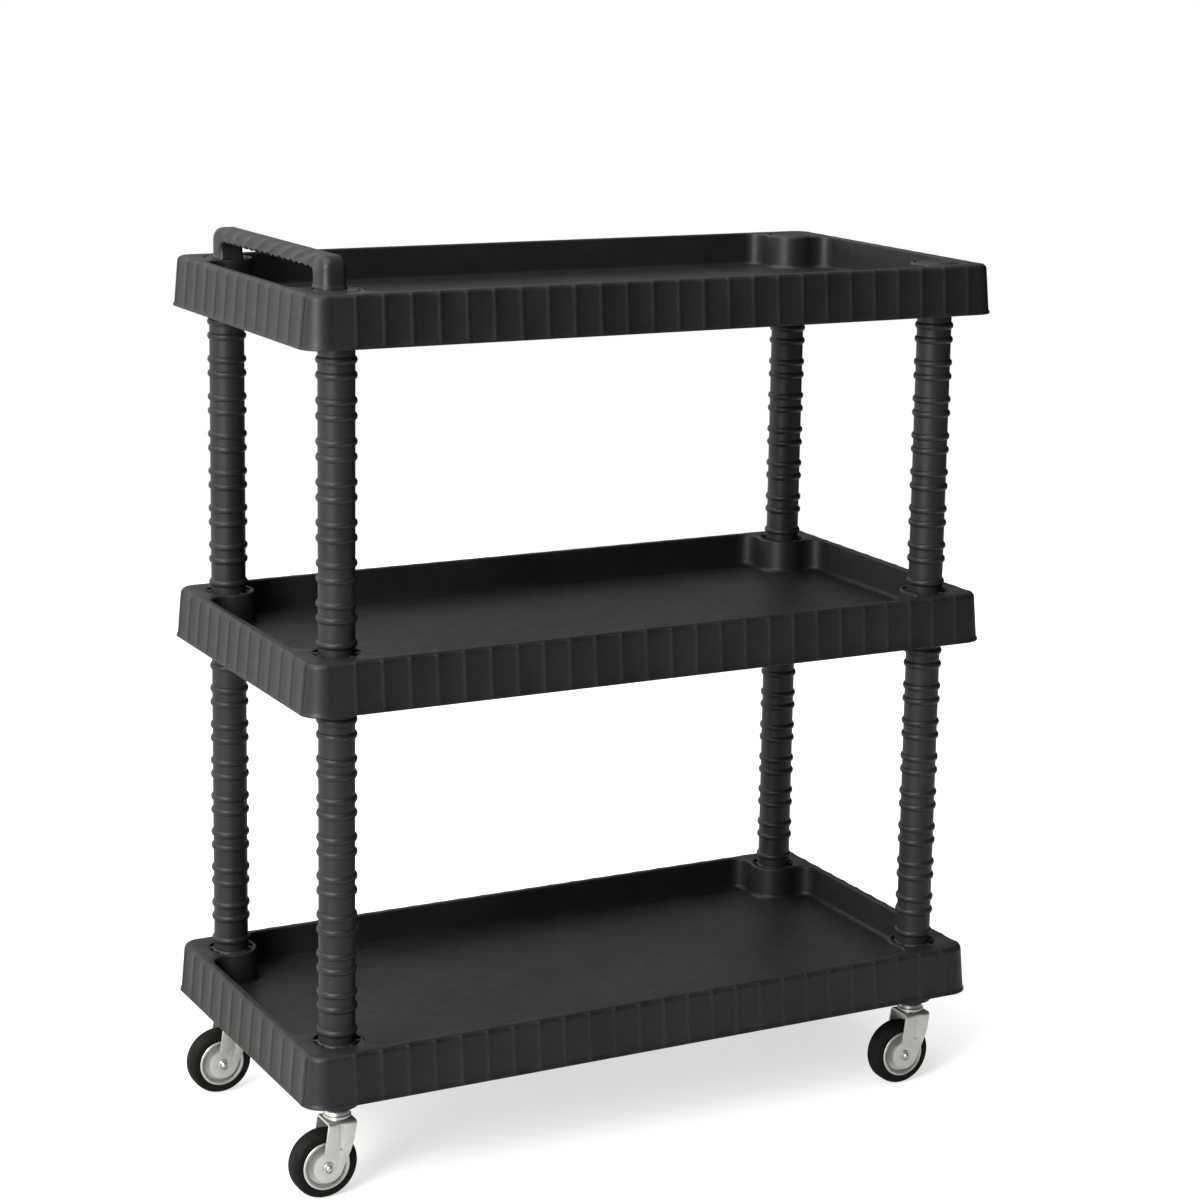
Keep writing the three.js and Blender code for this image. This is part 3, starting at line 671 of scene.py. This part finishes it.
def tray_mesh(level):
    """One tray, in its own frame: the middle of its skirt's foot is the origin."""
    bm = bmesh.new()
    columns = skirt_stations()
    loops = []
    for out, height, relief in skirt_profile():
        points = []
        for place, away, stand in columns:
            spot = place + away * (out + stand * relief)
            points.append((spot.x, spot.y, height))
        loops.append(ring(bm, points))
    join(bm, loops, capped=False)
    edge = pan_ring(bm, PAN_EDGE_ROUND, TRAY_HEIGHT)
    places = [(sx * POST_X, sy * POST_Y) for sx in (-1, 1) for sy in (-1, 1)]
    mouths = [circle(bm, x, y, GROOVE_OUTER + 0.6, TRAY_HEIGHT, 64) for x, y in places]
    fill(bm, [loops[-1], edge, *mouths])
    add_pan(bm, edge)
    add_under_pan(bm, loops[0])
    for (x, y), mouth in zip(places, mouths):
        add_corner(bm, level, x, y, mouth)
        add_lower_boss(bm, level, x, y)
    return finish_mesh(bm, level + "_tray_moulding")


def add_trays():
    for level, base in TRAY_BASES.items():
        name, node = level + "_tray_moulding", level + "_tray"
        place = (TRAY_X, 0, base)
        add_piece(name, tray_mesh(level), TRAY_RESIN, "cart_frame", node, place)


# ---- Posts and caps -------------------------------------------------------------------------


def post_profile(low, high, skirt):
    """A tube's wall with half-round beads in pairs, measured down from the skirt above."""
    beads = []
    for first in BEAD_FIRST:
        height = skirt - first
        while height > low + 2 * BEAD_HALF:
            beads.append(height)
            height -= BEAD_PERIOD
    outside = [(POST_RADIUS, low)]
    for height in sorted(beads):
        for i in range(-BEAD_STEPS, BEAD_STEPS + 1):
            part = math.sin(math.pi / 2 * i / BEAD_STEPS)
            stand = BEAD_HEIGHT * math.sqrt(1 - part * part) ** BEAD_SHARPNESS
            outside.append((POST_RADIUS + stand, height + part * BEAD_HALF))
    outside.append((POST_RADIUS, high))
    bore = POST_RADIUS - POST_WALL
    return outside + [(bore, high), (bore, low)]


def add_posts():
    for kind, above in (("lower_post", "middle"), ("upper_post", "top")):
        low, high = box_mm(kind + "_front_left")
        bm = bmesh.new()
        add_turned(bm, post_profile(0.0, high.z - low.z, TRAY_BASES[above] - low.z))
        mesh = finish_mesh(bm, kind + "_tube", sharp_degrees=50)
        for corner in CORNERS:
            node = f"{kind}_{corner}"
            place = (POST_PLACES[corner].x, POST_PLACES[corner].y, low.z)
            name = f"{kind}_tube_{corner}"
            add_piece(name, mesh, POST_RESIN, "cart_frame", node, place)


def add_caps():
    low, high = box_mm("corner_cap_front_right")
    radius = half_size("corner_cap_front_right", X)
    depth = high.z - low.z
    bm = bmesh.new()
    profile = [(2.0, -depth), (CAP_PLUG_RADIUS, -depth), (CAP_PLUG_RADIUS, -CAP_SEAT_DEPTH)]
    profile += [(radius - 0.6, -CAP_SEAT_DEPTH), (radius, -2.6)]
    profile += [(radius, -0.5), (radius - 0.4, 0.1), (radius - 1.4, 0.4)]
    for part in (0.8, 0.6, 0.4, 0.2, 0.05):
        profile.append((radius * part, 0.4 + CAP_CROWN * math.cos(math.pi / 2 * part)))
    add_plug(bm, profile, sides=64)
    mesh = finish_mesh(bm, "corner_cap_disc")
    for corner in ("front_right", "back_right"):
        place = (POST_PLACES[corner].x, POST_PLACES[corner].y, high.z)
        name, node = "corner_cap_disc_" + corner, "corner_cap_" + corner
        add_piece(name, mesh, TRAY_RESIN, "cart_frame", node, place)


# ---- Push handle ----------------------------------------------------------------------------

HANDLE_LEG = 28.0
HANDLE_GRIP = 17.0
HANDLE_OUTER_ROUND = 14.0
HANDLE_INNER_ROUND = 8.0
FINGER_TEETH = 16
FINGER_DEPTH = 4.0
FINGER_FADE = 2.2
FLUTES = 8
FLUTE_DEPTH = 2.8
FLUTE_SLANT = 0.7
GRIP_STEPS = 256
GRIP_FADE = 14
LEG_FLARE = 2.2
FOOT_FLARE = 1.3
FOOT_FLARES = ((0.0, 1.0), (2.2, 1.0), (3.2, 0.7), (4.0, 0.2), (5.0, 0.0))
BEND_STEPS = 12
SECTION_STEPS = 10


def handle_stations(outer_y, inner_y, plug, top, under):
    """Matching points on the bail's outer and inner outlines in the YZ plane, foot to foot.

    Each entry is the outer point, the inner point, how far along the grip it lies (-1 to 1, or
    None on a leg or bend) and how far the leg swells there in millimetres."""

    def bend(y, z, radius):
        return arc(y - radius, z - radius, radius, 0.0, math.pi / 2, BEND_STEPS)

    leg = [((outer_y, height), (inner_y, height), None, 0.0) for height in (-plug, -1.0)]
    for height, foot in FOOT_FLARES:
        leg.append(((outer_y, height), (inner_y, height), None, LEG_FLARE + FOOT_FLARE * foot))
    outer_bend = bend(outer_y, top, HANDLE_OUTER_ROUND)
    inner_bend = bend(inner_y, under, HANDLE_INNER_ROUND)
    for i, (outer, inner) in enumerate(zip(outer_bend, inner_bend)):
        leg.append((outer, inner, None, LEG_FLARE * math.cos(math.pi / 2 * i / BEND_STEPS)))
    grip = []
    for i in range(1, GRIP_STEPS):
        part = 1 - 2 * i / GRIP_STEPS
        outer = (outer_bend[-1][0] * part, top)
        inner = (inner_bend[-1][0] * part, under)
        grip.append((outer, inner, part, 0.0))
    other_leg = []
    for (outer_y, outer_z), (inner_y, inner_z), _, flare in reversed(leg):
        other_leg.append(((-outer_y, outer_z), (-inner_y, inner_z), None, flare))
    return leg + grip + other_leg


def handle_section(half, length, grow):
    """A rounded rectangle: across in X, and up from the inner edge to the outer edge.

    It is grown by `grow`. The outer edge on the outside of the cart is rounded most."""
    radii = (5.0, 10.0, 3.5, 3.5)
    signs = ((1, 1), (-1, 1), (-1, 0), (1, 0))
    points = []
    for quarter, (radius, (across, outer)) in enumerate(zip(radii, signs)):
        x = across * (half - radius)
        y = length - radius if outer else radius
        start = quarter * math.pi / 2
        points += arc(x, y, radius + grow, start, start + math.pi / 2, SECTION_STEPS)
    return points


def grip_relief(x, share, grip):
    """How deep a slanted groove and a finger tooth cut in at a point of the grip's section.

    `x` runs from -1 on the outside of the cart to 1, and `share` from 0 below to 1 on top."""
    outside = min(1.0, max(0.0, 0.25 - 1.6 * x))
    fade = outside * min(1.0, (1 - abs(grip)) * GRIP_FADE)
    phase = (grip + 1) / 2
    groove = abs(math.sin(math.pi * (phase * FLUTES + FLUTE_SLANT * share)))
    tooth = (phase * FINGER_TEETH) % 1.0
    flute_depth = FLUTE_DEPTH * fade * min(1.0, share * 2.5) * groove
    tooth_depth = FINGER_DEPTH * fade * max(0.0, 1 - share * FINGER_FADE) * tooth
    return flute_depth, tooth_depth


def handle_mesh():
    """The bail across the tray's end, in millimetres from the rim's height."""
    low, high = box_mm("push_handle")
    rim = TRAY_BASES["top"] + TRAY_HEIGHT
    half = half_size("push_handle", X)
    top = high.z - rim
    sides = (high.y, high.y - HANDLE_LEG)
    bm = bmesh.new()
    rings = []
    for outer, inner, grip, flare in handle_stations(*sides, rim - low.z, top, top - HANDLE_GRIP):
        start, end = Vector(inner), Vector(outer)
        length = (end - start).length
        direction = (end - start) / length
        points = []
        for x, up in handle_section(half, length, flare):
            if grip is not None:
                flute_depth, tooth_depth = grip_relief(x / half, up / length, grip)
                x += 0.6 * flute_depth
                up += tooth_depth - 0.8 * flute_depth
            spot = start + direction * up
            points.append((x, spot.x, spot.y))
        rings.append(ring(bm, points))
    join(bm, rings)
    return finish_mesh(bm, "push_handle_bail", sharp_degrees=42)


def add_handle():
    name, node = "push_handle_bail", "push_handle"
    place = (centre(node).x, 0, TRAY_BASES["top"] + TRAY_HEIGHT)
    add_piece(name, handle_mesh(), HANDLE_RESIN, "cart_frame", node, place)


# ---- Casters --------------------------------------------------------------------------------

PIVOTS = {corner: centre("caster_stem_" + corner) for corner in CORNERS}
AXLES = {corner: centre("tyre_" + corner) for corner in CORNERS}
TRAIL = PIVOTS["front_left"].x - AXLES["front_left"].x
WHEEL_RADIUS = AXLES["front_left"].z
TYRE_HALF = half_size("tyre_front_left", Y)
FORK_HALF = half_size("caster_fork_front_left", Y)
FORK_SHEET = 2.5
FORK_TOP = 92.5
FORK_TOP_ROUND = 4.0
FORK_TOP_HALF = 17.0
FORK_WAIST = (14.0, 66.0)
FORK_HEEL_X = -22.5
FORK_FOOT_RADIUS = 18.0
FORK_EDGE_ROUND = 0.9
RACE_TOP = box_mm("caster_fork_front_left")[1].z

LEG_FLUTE_X = -2.5
LEG_FLUTE_LOW = 60.0
LEG_FLUTE_DEPTH = 0.7
LEG_FLUTE_RADIUS = 6.0

BOLT_HOLE_RADIUS = 4.4
PIN_HOLE_RADIUS = 5.3
SHANK_RADIUS = 4.0
STEM_NECK_RADIUS = 5.0
STEM_RADIUS = 5.6
COLLAR_RADIUS = 8.0
INSERT_BORE = 5.9
NUT_BORE = 4.3
SLEEVE_RADII = (4.3, 6.5)
CLEARANCE = 0.3

BALLS = 6
BALL_CIRCLE = 10.5
CAGE_HALF_WIDTH = 1.0
CAGE_HALF_HEIGHT = 0.6


def tyre_mesh():
    """A solid tyre with flat walls and round shoulders, its bore widening to both sides."""
    wall = TYRE_HALF
    side = [(WHEEL_RADIUS, wall - 4.6, 5), (36.4, wall - 0.1, 2), (30.6, wall, 1)]
    side += [(29.4, wall - 0.6, 1), (25.4, 7.5, 1)]
    other = [(radius, -along, own) for radius, along, own in reversed(side)]
    bm = bmesh.new()
    add_turned(bm, soften(other + side, steps=5), axis="Y", sides=128)
    return finish_mesh(bm, "tyre_ring", sharp_degrees=50)


def wheel_half_mesh(side):
    """A pressed half: hub barrel, dished web, and a raised rolled edge that grips the tyre."""
    inside = [(6.8, 0.2, 0), (8.6, 0.2, 0), (8.6, 8.2, 1), (22.2, 8.2, 1), (22.2, 0.2, 0)]
    inside += [(24.0, 0.2, 0), (24.0, 7.2, 1), (26.0, 11.0, 1.5)]
    rolled_edge = [(28.2, 11.4, 1), (28.9, 12.9, 1.2), (27.4, 13.7, 1.6), (25.0, 12.9, 1.8)]
    dish = [(23.0, 10.2, 2.0), (18.0, 9.4, 3), (13.0, 10.3, 2), (9.6, 12.2, 1.5)]
    hub = [(8.6, 15.3, 0.5), (6.8, 15.3, 0.3)]
    bm = bmesh.new()
    profile = soften(inside + rolled_edge + dish + hub)
    points = [(radius, along * side) for radius, along in profile]
    add_turned(bm, points, axis="Y", sides=96)
    return finish_mesh(bm, "wheel_half", sharp_degrees=40)


def fork_outline():
    """A fork's side, counter-clockwise: the leg narrows down to a round about the axle."""
    radius = FORK_FOOT_RADIUS
    heel = math.acos((FORK_HEEL_X + TRAIL) / radius)
    along_x, along_z = FORK_WAIST[0] + TRAIL, FORK_WAIST[1] - WHEEL_RADIUS
    tangent = math.atan2(along_z, along_x) - math.acos(radius / math.hypot(along_x, along_z))
    points = [(FORK_TOP_HALF, FORK_TOP), (-FORK_TOP_HALF, FORK_TOP)]
    points += arc(-TRAIL, WHEEL_RADIUS, radius, heel, tangent + 2 * math.pi, 40)
    middle = Vector(FORK_WAIST)
    start = middle + (Vector(points[-1]) - middle) * 0.5
    end = middle + (Vector(points[0]) - middle) * 0.4
    steps = 8
    for i in range(steps + 1):
        t = i / steps
        points.append(tuple(start * (1 - t) ** 2 + middle * 2 * t * (1 - t) + end * t * t))
    return points


def extruded_channel(reach, top, top_round, outline):
    """A solid as wide as 2 * reach whose top edges roll over with a radius."""
    bm = bmesh.new()
    rows = [(-reach, top_round)]
    steps = 6
    for i in range(1, steps + 1):
        angle = math.pi / 2 * i / steps
        inset = top_round * (1 - math.cos(angle))
        rows.append((-reach + inset, top_round * (1 - math.sin(angle))))
    rows += [(-y, drop) for y, drop in reversed(rows)]
    loops = []
    for y, drop in rows:
        loops.append(ring(bm, [(x, y, min(z, top - drop)) for x, z in outline]))
    join(bm, loops)
    return bm


def apply_modifiers(mesh_object):
    """The mesh of an object with its modifiers applied."""
    depsgraph = bpy.context.evaluated_depsgraph_get()
    return bpy.data.meshes.new_from_object(mesh_object.evaluated_get(depsgraph))


def temporary(bm, name):
    """An object in millimetres that stands in the scene only while modifiers are applied."""
    bmesh.ops.recalc_face_normals(bm, faces=bm.faces)
    mesh = bpy.data.meshes.new(name)
    bm.to_mesh(mesh)
    bm.free()
    holder = bpy.data.objects.new(name, mesh)
    scene.collection.objects.link(holder)
    return holder


def fork_mesh():
    """The pressed fork: an outer solid less its inside and holes, with every edge eased."""
    outer = extruded_channel(FORK_HALF, FORK_TOP, FORK_TOP_ROUND, fork_outline())
    body = temporary(outer, "fork_body")
    ceiling = FORK_TOP - FORK_SHEET
    room = [(60.0, ceiling), (-60.0, ceiling), (-60.0, 0.0), (60.0, 0.0)]
    inner = extruded_channel(FORK_HALF - FORK_SHEET, ceiling, 1.6, room)
    cutters = [temporary(inner, "fork_room")]
    bolt = bmesh.new()
    hole = [(BOLT_HOLE_RADIUS, -30.0), (BOLT_HOLE_RADIUS, 30.0)]
    add_plug(bolt, hole, axis="Y", place=(-TRAIL, 0, WHEEL_RADIUS))
    cutters.append(temporary(bolt, "fork_bolt_hole"))
    pin = bmesh.new()
    add_plug(pin, [(PIN_HOLE_RADIUS, FORK_TOP - 8), (PIN_HOLE_RADIUS, FORK_TOP + 8)])
    cutters.append(temporary(pin, "fork_pin_hole"))
    profile = [(1.0, LEG_FLUTE_LOW - 5), (4.0, LEG_FLUTE_LOW - 3), (5.5, LEG_FLUTE_LOW - 1)]
    profile += [(LEG_FLUTE_RADIUS, LEG_FLUTE_LOW + 2), (LEG_FLUTE_RADIUS, FORK_TOP + 8)]
    away = FORK_HALF + LEG_FLUTE_RADIUS - LEG_FLUTE_DEPTH
    for side in (-1, 1):
        flute = bmesh.new()
        add_plug(flute, profile, place=(LEG_FLUTE_X, side * away, 0))
        cutters.append(temporary(flute, "fork_leg_flute"))
    for cutter in cutters:
        cut = body.modifiers.new(cutter.name, "BOOLEAN")
        cut.operation = "DIFFERENCE"
        cut.solver = "EXACT"
        cut.object = cutter
    ease = body.modifiers.new("ease", "BEVEL")
    ease.width = FORK_EDGE_ROUND
    ease.segments = 3
    ease.limit_method = "ANGLE"
    ease.angle_limit = math.radians(50)
    bpy.context.view_layer.update()
    cut_mesh = apply_modifiers(body)
    for holder in (body, *cutters):
        bpy.data.objects.remove(holder)
    bm = bmesh.new()
    bm.from_mesh(cut_mesh)
    bpy.data.meshes.remove(cut_mesh)
    race = [(5.6, FORK_TOP - 0.4, 0), (13.4, FORK_TOP - 0.4, 0), (13.4, RACE_TOP - 1.0, 1.4)]
    race += [(12.4, RACE_TOP, 0.8), (9.0, RACE_TOP - 0.9, 2), (6.0, RACE_TOP - 0.1, 0.6)]
    add_turned(bm, soften(race))
    return finish_mesh(bm, "fork_pressing", sharp_degrees=35)


def upper_race_mesh():
    """An upturned pressed cup over the balls, with a flanged brim."""
    low, high = box_mm("upper_race_front_left")
    bottom, top = low.z, high.z
    radius = half_size("upper_race_front_left", X)
    profile = [(5.4, top - 2.2, 0.4), (radius - 2.6, top - 2.2, 1.5)]
    profile += [(radius - 1.9, bottom + 0.4, 0.3), (radius, bottom, 0.8)]
    profile += [(radius, bottom + 2.4, 0.6), (radius - 1.2, bottom + 3.2, 1.2)]
    profile += [(radius - 2.6, top - 0.6, 2.5), (radius - 6.0, top, 2), (5.4, top, 0.3)]
    bm = bmesh.new()
    add_turned(bm, soften(profile, steps=5), sides=80)
    return finish_mesh(bm, "upper_race_cup", sharp_degrees=50)


def stem_mesh():
    """Stem, collar and headed-over kingpin in one turned piece."""
    low, high = box_mm("caster_stem_front_left")
    bottom, top = low.z, high.z
    collar = box_mm("upper_race_front_left")[1].z + CLEARANCE
    shoulder = box_mm("bottom_tray")[0].z - CLEARANCE
    wide = COLLAR_RADIUS
    profile = [(0.6, bottom + 0.2), (4.5, bottom), (7.0, bottom + 0.7), (wide, bottom + 2.2)]
    profile += [(wide, bottom + 3.3), (wide - 0.2, bottom + 3.5)]
    profile += [(STEM_NECK_RADIUS, bottom + 3.5), (STEM_NECK_RADIUS, collar)]
    profile += [(wide - 0.4, collar), (wide, collar + 0.4)]
    profile += [(wide, shoulder - 0.4), (wide - 0.4, shoulder)]
    profile += [(STEM_RADIUS, shoulder), (STEM_RADIUS, top - 2.0), (4.4, top), (0.6, top)]
    bm = bmesh.new()
    add_plug(bm, profile)
    return finish_mesh(bm, "stem_pin", sharp_degrees=35)


def bolt_mesh():
    """A headed axle: a flange, a groove and a domed rivet head, then the shank."""
    reach = box_mm("axle_bolt_front_left")[1].y - AXLES["front_left"].y
    face = -FORK_HALF - CLEARANCE
    dome = ((0.5, 4.6), (1.8, 4.4), (3.2, 3.6), (3.9, 2.3), (4.1, 1.2))
    flange = ((4.4, 1.0), (5.2, 1.5), (6.2, 1.6), (6.7, 1.2), (6.8, 0.0))
    profile = [(radius, face - height) for radius, height in dome + flange]
    profile += [(SHANK_RADIUS, face), (SHANK_RADIUS, reach - 0.8), (3.2, reach), (0.5, reach)]
    bm = bmesh.new()
    add_plug(bm, profile, axis="Y")
    return finish_mesh(bm, "axle_bolt_pin", sharp_degrees=35)


def nut_mesh():
    """A chamfered hexagon nut on the far side."""
    low, high = box_mm("axle_nut_front_left")
    near, far = low.y - AXLES["front_left"].y, high.y - AXLES["front_left"].y
    flats = half_size("axle_nut_front_left", Z) * math.cos(math.pi / 6)
    bm = bmesh.new()
    sides = 72
    rings = []
    entries = [(NUT_BORE, near), (5.9, near), (None, near + 0.5), (None, far - 0.9)]
    entries += [(5.7, far), (NUT_BORE, far)]
    for radius, along in entries:
        points = []
        for i in range(sides):
            turn = 2 * math.pi * i / sides
            from_flat = (turn + math.pi / 6) % (math.pi / 3) - math.pi / 6
            reach = radius or flats / math.cos(from_flat)
            points.append((reach * math.sin(turn), along, reach * math.cos(turn)))
        rings.append(ring(bm, points))
    join(bm, rings + rings[:1], capped=False)
    return finish_mesh(bm, "axle_nut_hexagon", sharp_degrees=25)


def tube_mesh(name, radii, ends, edge_round, axis):
    """A plain tube between two radii and two ends along its axis."""
    inner, outer = radii
    start, end = ends
    profile = [(inner, start), (outer, start), (outer, end), (inner, end)]
    bm = bmesh.new()
    add_turned(bm, soften(profile, edge_round), axis=axis, sides=48)
    return finish_mesh(bm, name, sharp_degrees=50)


def insert_mesh():
    low, high = box_mm("caster_insert_front_left")
    radii = (INSERT_BORE, half_size("caster_insert_front_left", X))
    return tube_mesh("insert_sleeve", radii, (low.z, high.z), 0.5, "Z")


def sleeve_mesh():
    low, high = box_mm("axle_sleeve_front_left")
    ends = (low.y - AXLES["front_left"].y, high.y - AXLES["front_left"].y)
    return tube_mesh("sleeve_tube", SLEEVE_RADII, ends, 0.4, "Y")


def balls_mesh():
    """The swivel's ball ring: round balls joined by their cage."""
    height = centre("ball_ring_front_left").z
    radius = half_size("ball_ring_front_left", Z)
    bm = bmesh.new()
    for i in range(BALLS):
        turn = 2 * math.pi * i / BALLS
        spot = (BALL_CIRCLE * math.cos(turn), BALL_CIRCLE * math.sin(turn), height)
        place = Matrix.Translation(spot)
        bmesh.ops.create_icosphere(bm, subdivisions=3, radius=radius, matrix=place)
    inner, outer = BALL_CIRCLE - CAGE_HALF_WIDTH, BALL_CIRCLE + CAGE_HALF_WIDTH
    bottom, top = height - CAGE_HALF_HEIGHT, height + CAGE_HALF_HEIGHT
    cage = [(inner, bottom), (outer, bottom), (outer, top), (inner, top)]
    add_turned(bm, soften(cage, 0.2))
    return finish_mesh(bm, "ball_race", sharp_degrees=50)


def add_casters():
    """Four casters that share their meshes. Each group of pieces rides on one body."""
    fixed = [
        ("insert_sleeve", insert_mesh(), NYLON, "caster_insert", "nylon"),
        ("stem_pin", stem_mesh(), STEEL, "caster_stem", "bright_steel"),
        ("upper_race_cup", upper_race_mesh(), ZINC, "upper_race", "zinc_plate"),
    ]
    swivelling = [
        ("fork_pressing", fork_mesh(), ZINC, "caster_fork", "zinc_plate"),
        ("ball_race", balls_mesh(), STEEL, "ball_ring", "bright_steel"),
    ]
    on_axle = [
        ("axle_bolt_pin", bolt_mesh(), STEEL, "axle_bolt", "bright_steel"),
        ("axle_nut_hexagon", nut_mesh(), STEEL, "axle_nut", "bright_steel"),
        ("sleeve_tube", sleeve_mesh(), STEEL, "axle_sleeve", "bright_steel"),
    ]
    rolling = [
        ("wheel_half_near_pressing", wheel_half_mesh(-1), ZINC, "wheel_half_near", "zinc_plate"),
        ("wheel_half_far_pressing", wheel_half_mesh(1), ZINC, "wheel_half_far", "zinc_plate"),
        ("tyre_ring", tyre_mesh(), RUBBER, "tyre", "tyre_rubber"),
    ]
    for corner in CORNERS:
        pivot = (PIVOTS[corner].x, PIVOTS[corner].y, 0)
        axle = tuple(AXLES[corner])
        swivel, wheel = "caster_swivel_" + corner, "caster_wheel_" + corner
        groups = [("cart_frame", pivot, fixed), (swivel, pivot, swivelling)]
        groups += [(swivel, axle, on_axle), (wheel, axle, rolling)]
        for body, place, pieces in groups:
            for name, mesh, material, node, slot in pieces:
                add_piece(f"{name}_{corner}", mesh, material, body, f"{node}_{corner}", place)


# ---- Stage ----------------------------------------------------------------------------------

FLOOR_RADIUS = 3.2
FLOOR_SIDES = 128
FLOOR_GLOW = 0.62
FLOOR_GLOW_UNSEEN = FLOOR_GLOW / 8


def add_floor():
    """The studio's round floor, in metres."""
    bm = bmesh.new()
    hub = bm.verts.new((0.0, 0.0, 0.0))
    edge = circle(bm, 0.0, 0.0, FLOOR_RADIUS, 0.0, FLOOR_SIDES)
    for i, vert in enumerate(edge):
        bm.faces.new((hub, vert, edge[(i + 1) % len(edge)]))
    mesh = bpy.data.meshes.new("floor")
    bm.to_mesh(mesh)
    bm.free()
    mesh.materials.append(floor_material())
    floor = bpy.data.objects.new("floor", mesh)
    scene.collection.objects.link(floor)


SKY_BRIGHT_SIDE = (-0.78, 0.42, 0.46)
SKY_FACING = (-0.04, 0.95)
SKY_LEVELS = (0.04, 1.75)
SKY_COLOUR = (1.0, 0.995, 0.96)
SUN_PLACE = (-0.45, -0.10, 1.0)
SUN_STRENGTH = 3.0
SUN_SPREAD = 60.0
SOFTBOX_PLACE = (-2.9, -1.9, 1.8)
SOFTBOX_AIM = (-0.3, -0.2, 0.7)
SOFTBOX_SIZE = (1.1, 1.7)
SOFTBOX_POWER = 150.0
SOFTBOX_COLOUR = (1.0, 1.0, 0.97)


def add_sky():
    """A white backdrop for the camera; for the cart, a studio that is bright at its back left."""
    world = bpy.data.worlds.new("studio")
    world.use_nodes = True
    nodes = world.node_tree.nodes
    links = world.node_tree.links
    direction = nodes.new("ShaderNodeTexCoord").outputs["Generated"]
    facing = nodes.new("ShaderNodeVectorMath")
    facing.operation = "DOT_PRODUCT"
    facing.inputs[1].default_value = SKY_BRIGHT_SIDE
    links.new(direction, facing.inputs[0])
    level = nodes.new("ShaderNodeMapRange")
    level.inputs["From Min"].default_value, level.inputs["From Max"].default_value = SKY_FACING
    level.inputs["To Min"].default_value, level.inputs["To Max"].default_value = SKY_LEVELS
    links.new(facing.outputs["Value"], level.inputs["Value"])
    studio = nodes["Background"]
    studio.inputs["Color"].default_value = (*SKY_COLOUR, 1.0)
    links.new(level.outputs["Result"], studio.inputs["Strength"])
    backdrop = nodes.new("ShaderNodeBackground")
    backdrop.inputs["Color"].default_value = (*WHITE, 1.0)
    mix = nodes.new("ShaderNodeMixShader")
    links.new(nodes.new("ShaderNodeLightPath").outputs["Is Camera Ray"], mix.inputs["Fac"])
    links.new(studio.outputs["Background"], mix.inputs[1])
    links.new(backdrop.outputs["Background"], mix.inputs[2])
    links.new(mix.outputs["Shader"], nodes["World Output"].inputs["Surface"])
    scene.world = world


def aim(light, direction):
    """Turns a light so that it shines in a direction."""
    light.rotation_euler = direction.to_track_quat("-Z", "Y").to_euler()


def add_softbox():
    data = bpy.data.lights.new("left_softbox", "AREA")
    data.shape = "RECTANGLE"
    data.size, data.size_y = SOFTBOX_SIZE
    data.energy = SOFTBOX_POWER
    data.color = SOFTBOX_COLOUR
    light = bpy.data.objects.new("left_softbox", data)
    light.location = SOFTBOX_PLACE
    aim(light, Vector(SOFTBOX_AIM) - Vector(SOFTBOX_PLACE))
    light.visible_camera = False
    scene.collection.objects.link(light)


def add_lights():
    data = bpy.data.lights.new("overhead_light", "SUN")
    data.energy = SUN_STRENGTH
    data.angle = math.radians(SUN_SPREAD)
    light = bpy.data.objects.new("overhead_light", data)
    aim(light, -Vector(SUN_PLACE))
    scene.collection.objects.link(light)
    add_softbox()
    add_sky()
    scene.view_settings.view_transform = "Standard"


# ---- Assembly -------------------------------------------------------------------------------

add_camera()
add_trays()
add_posts()
add_caps()
add_handle()
add_casters()
add_floor()
add_lights()
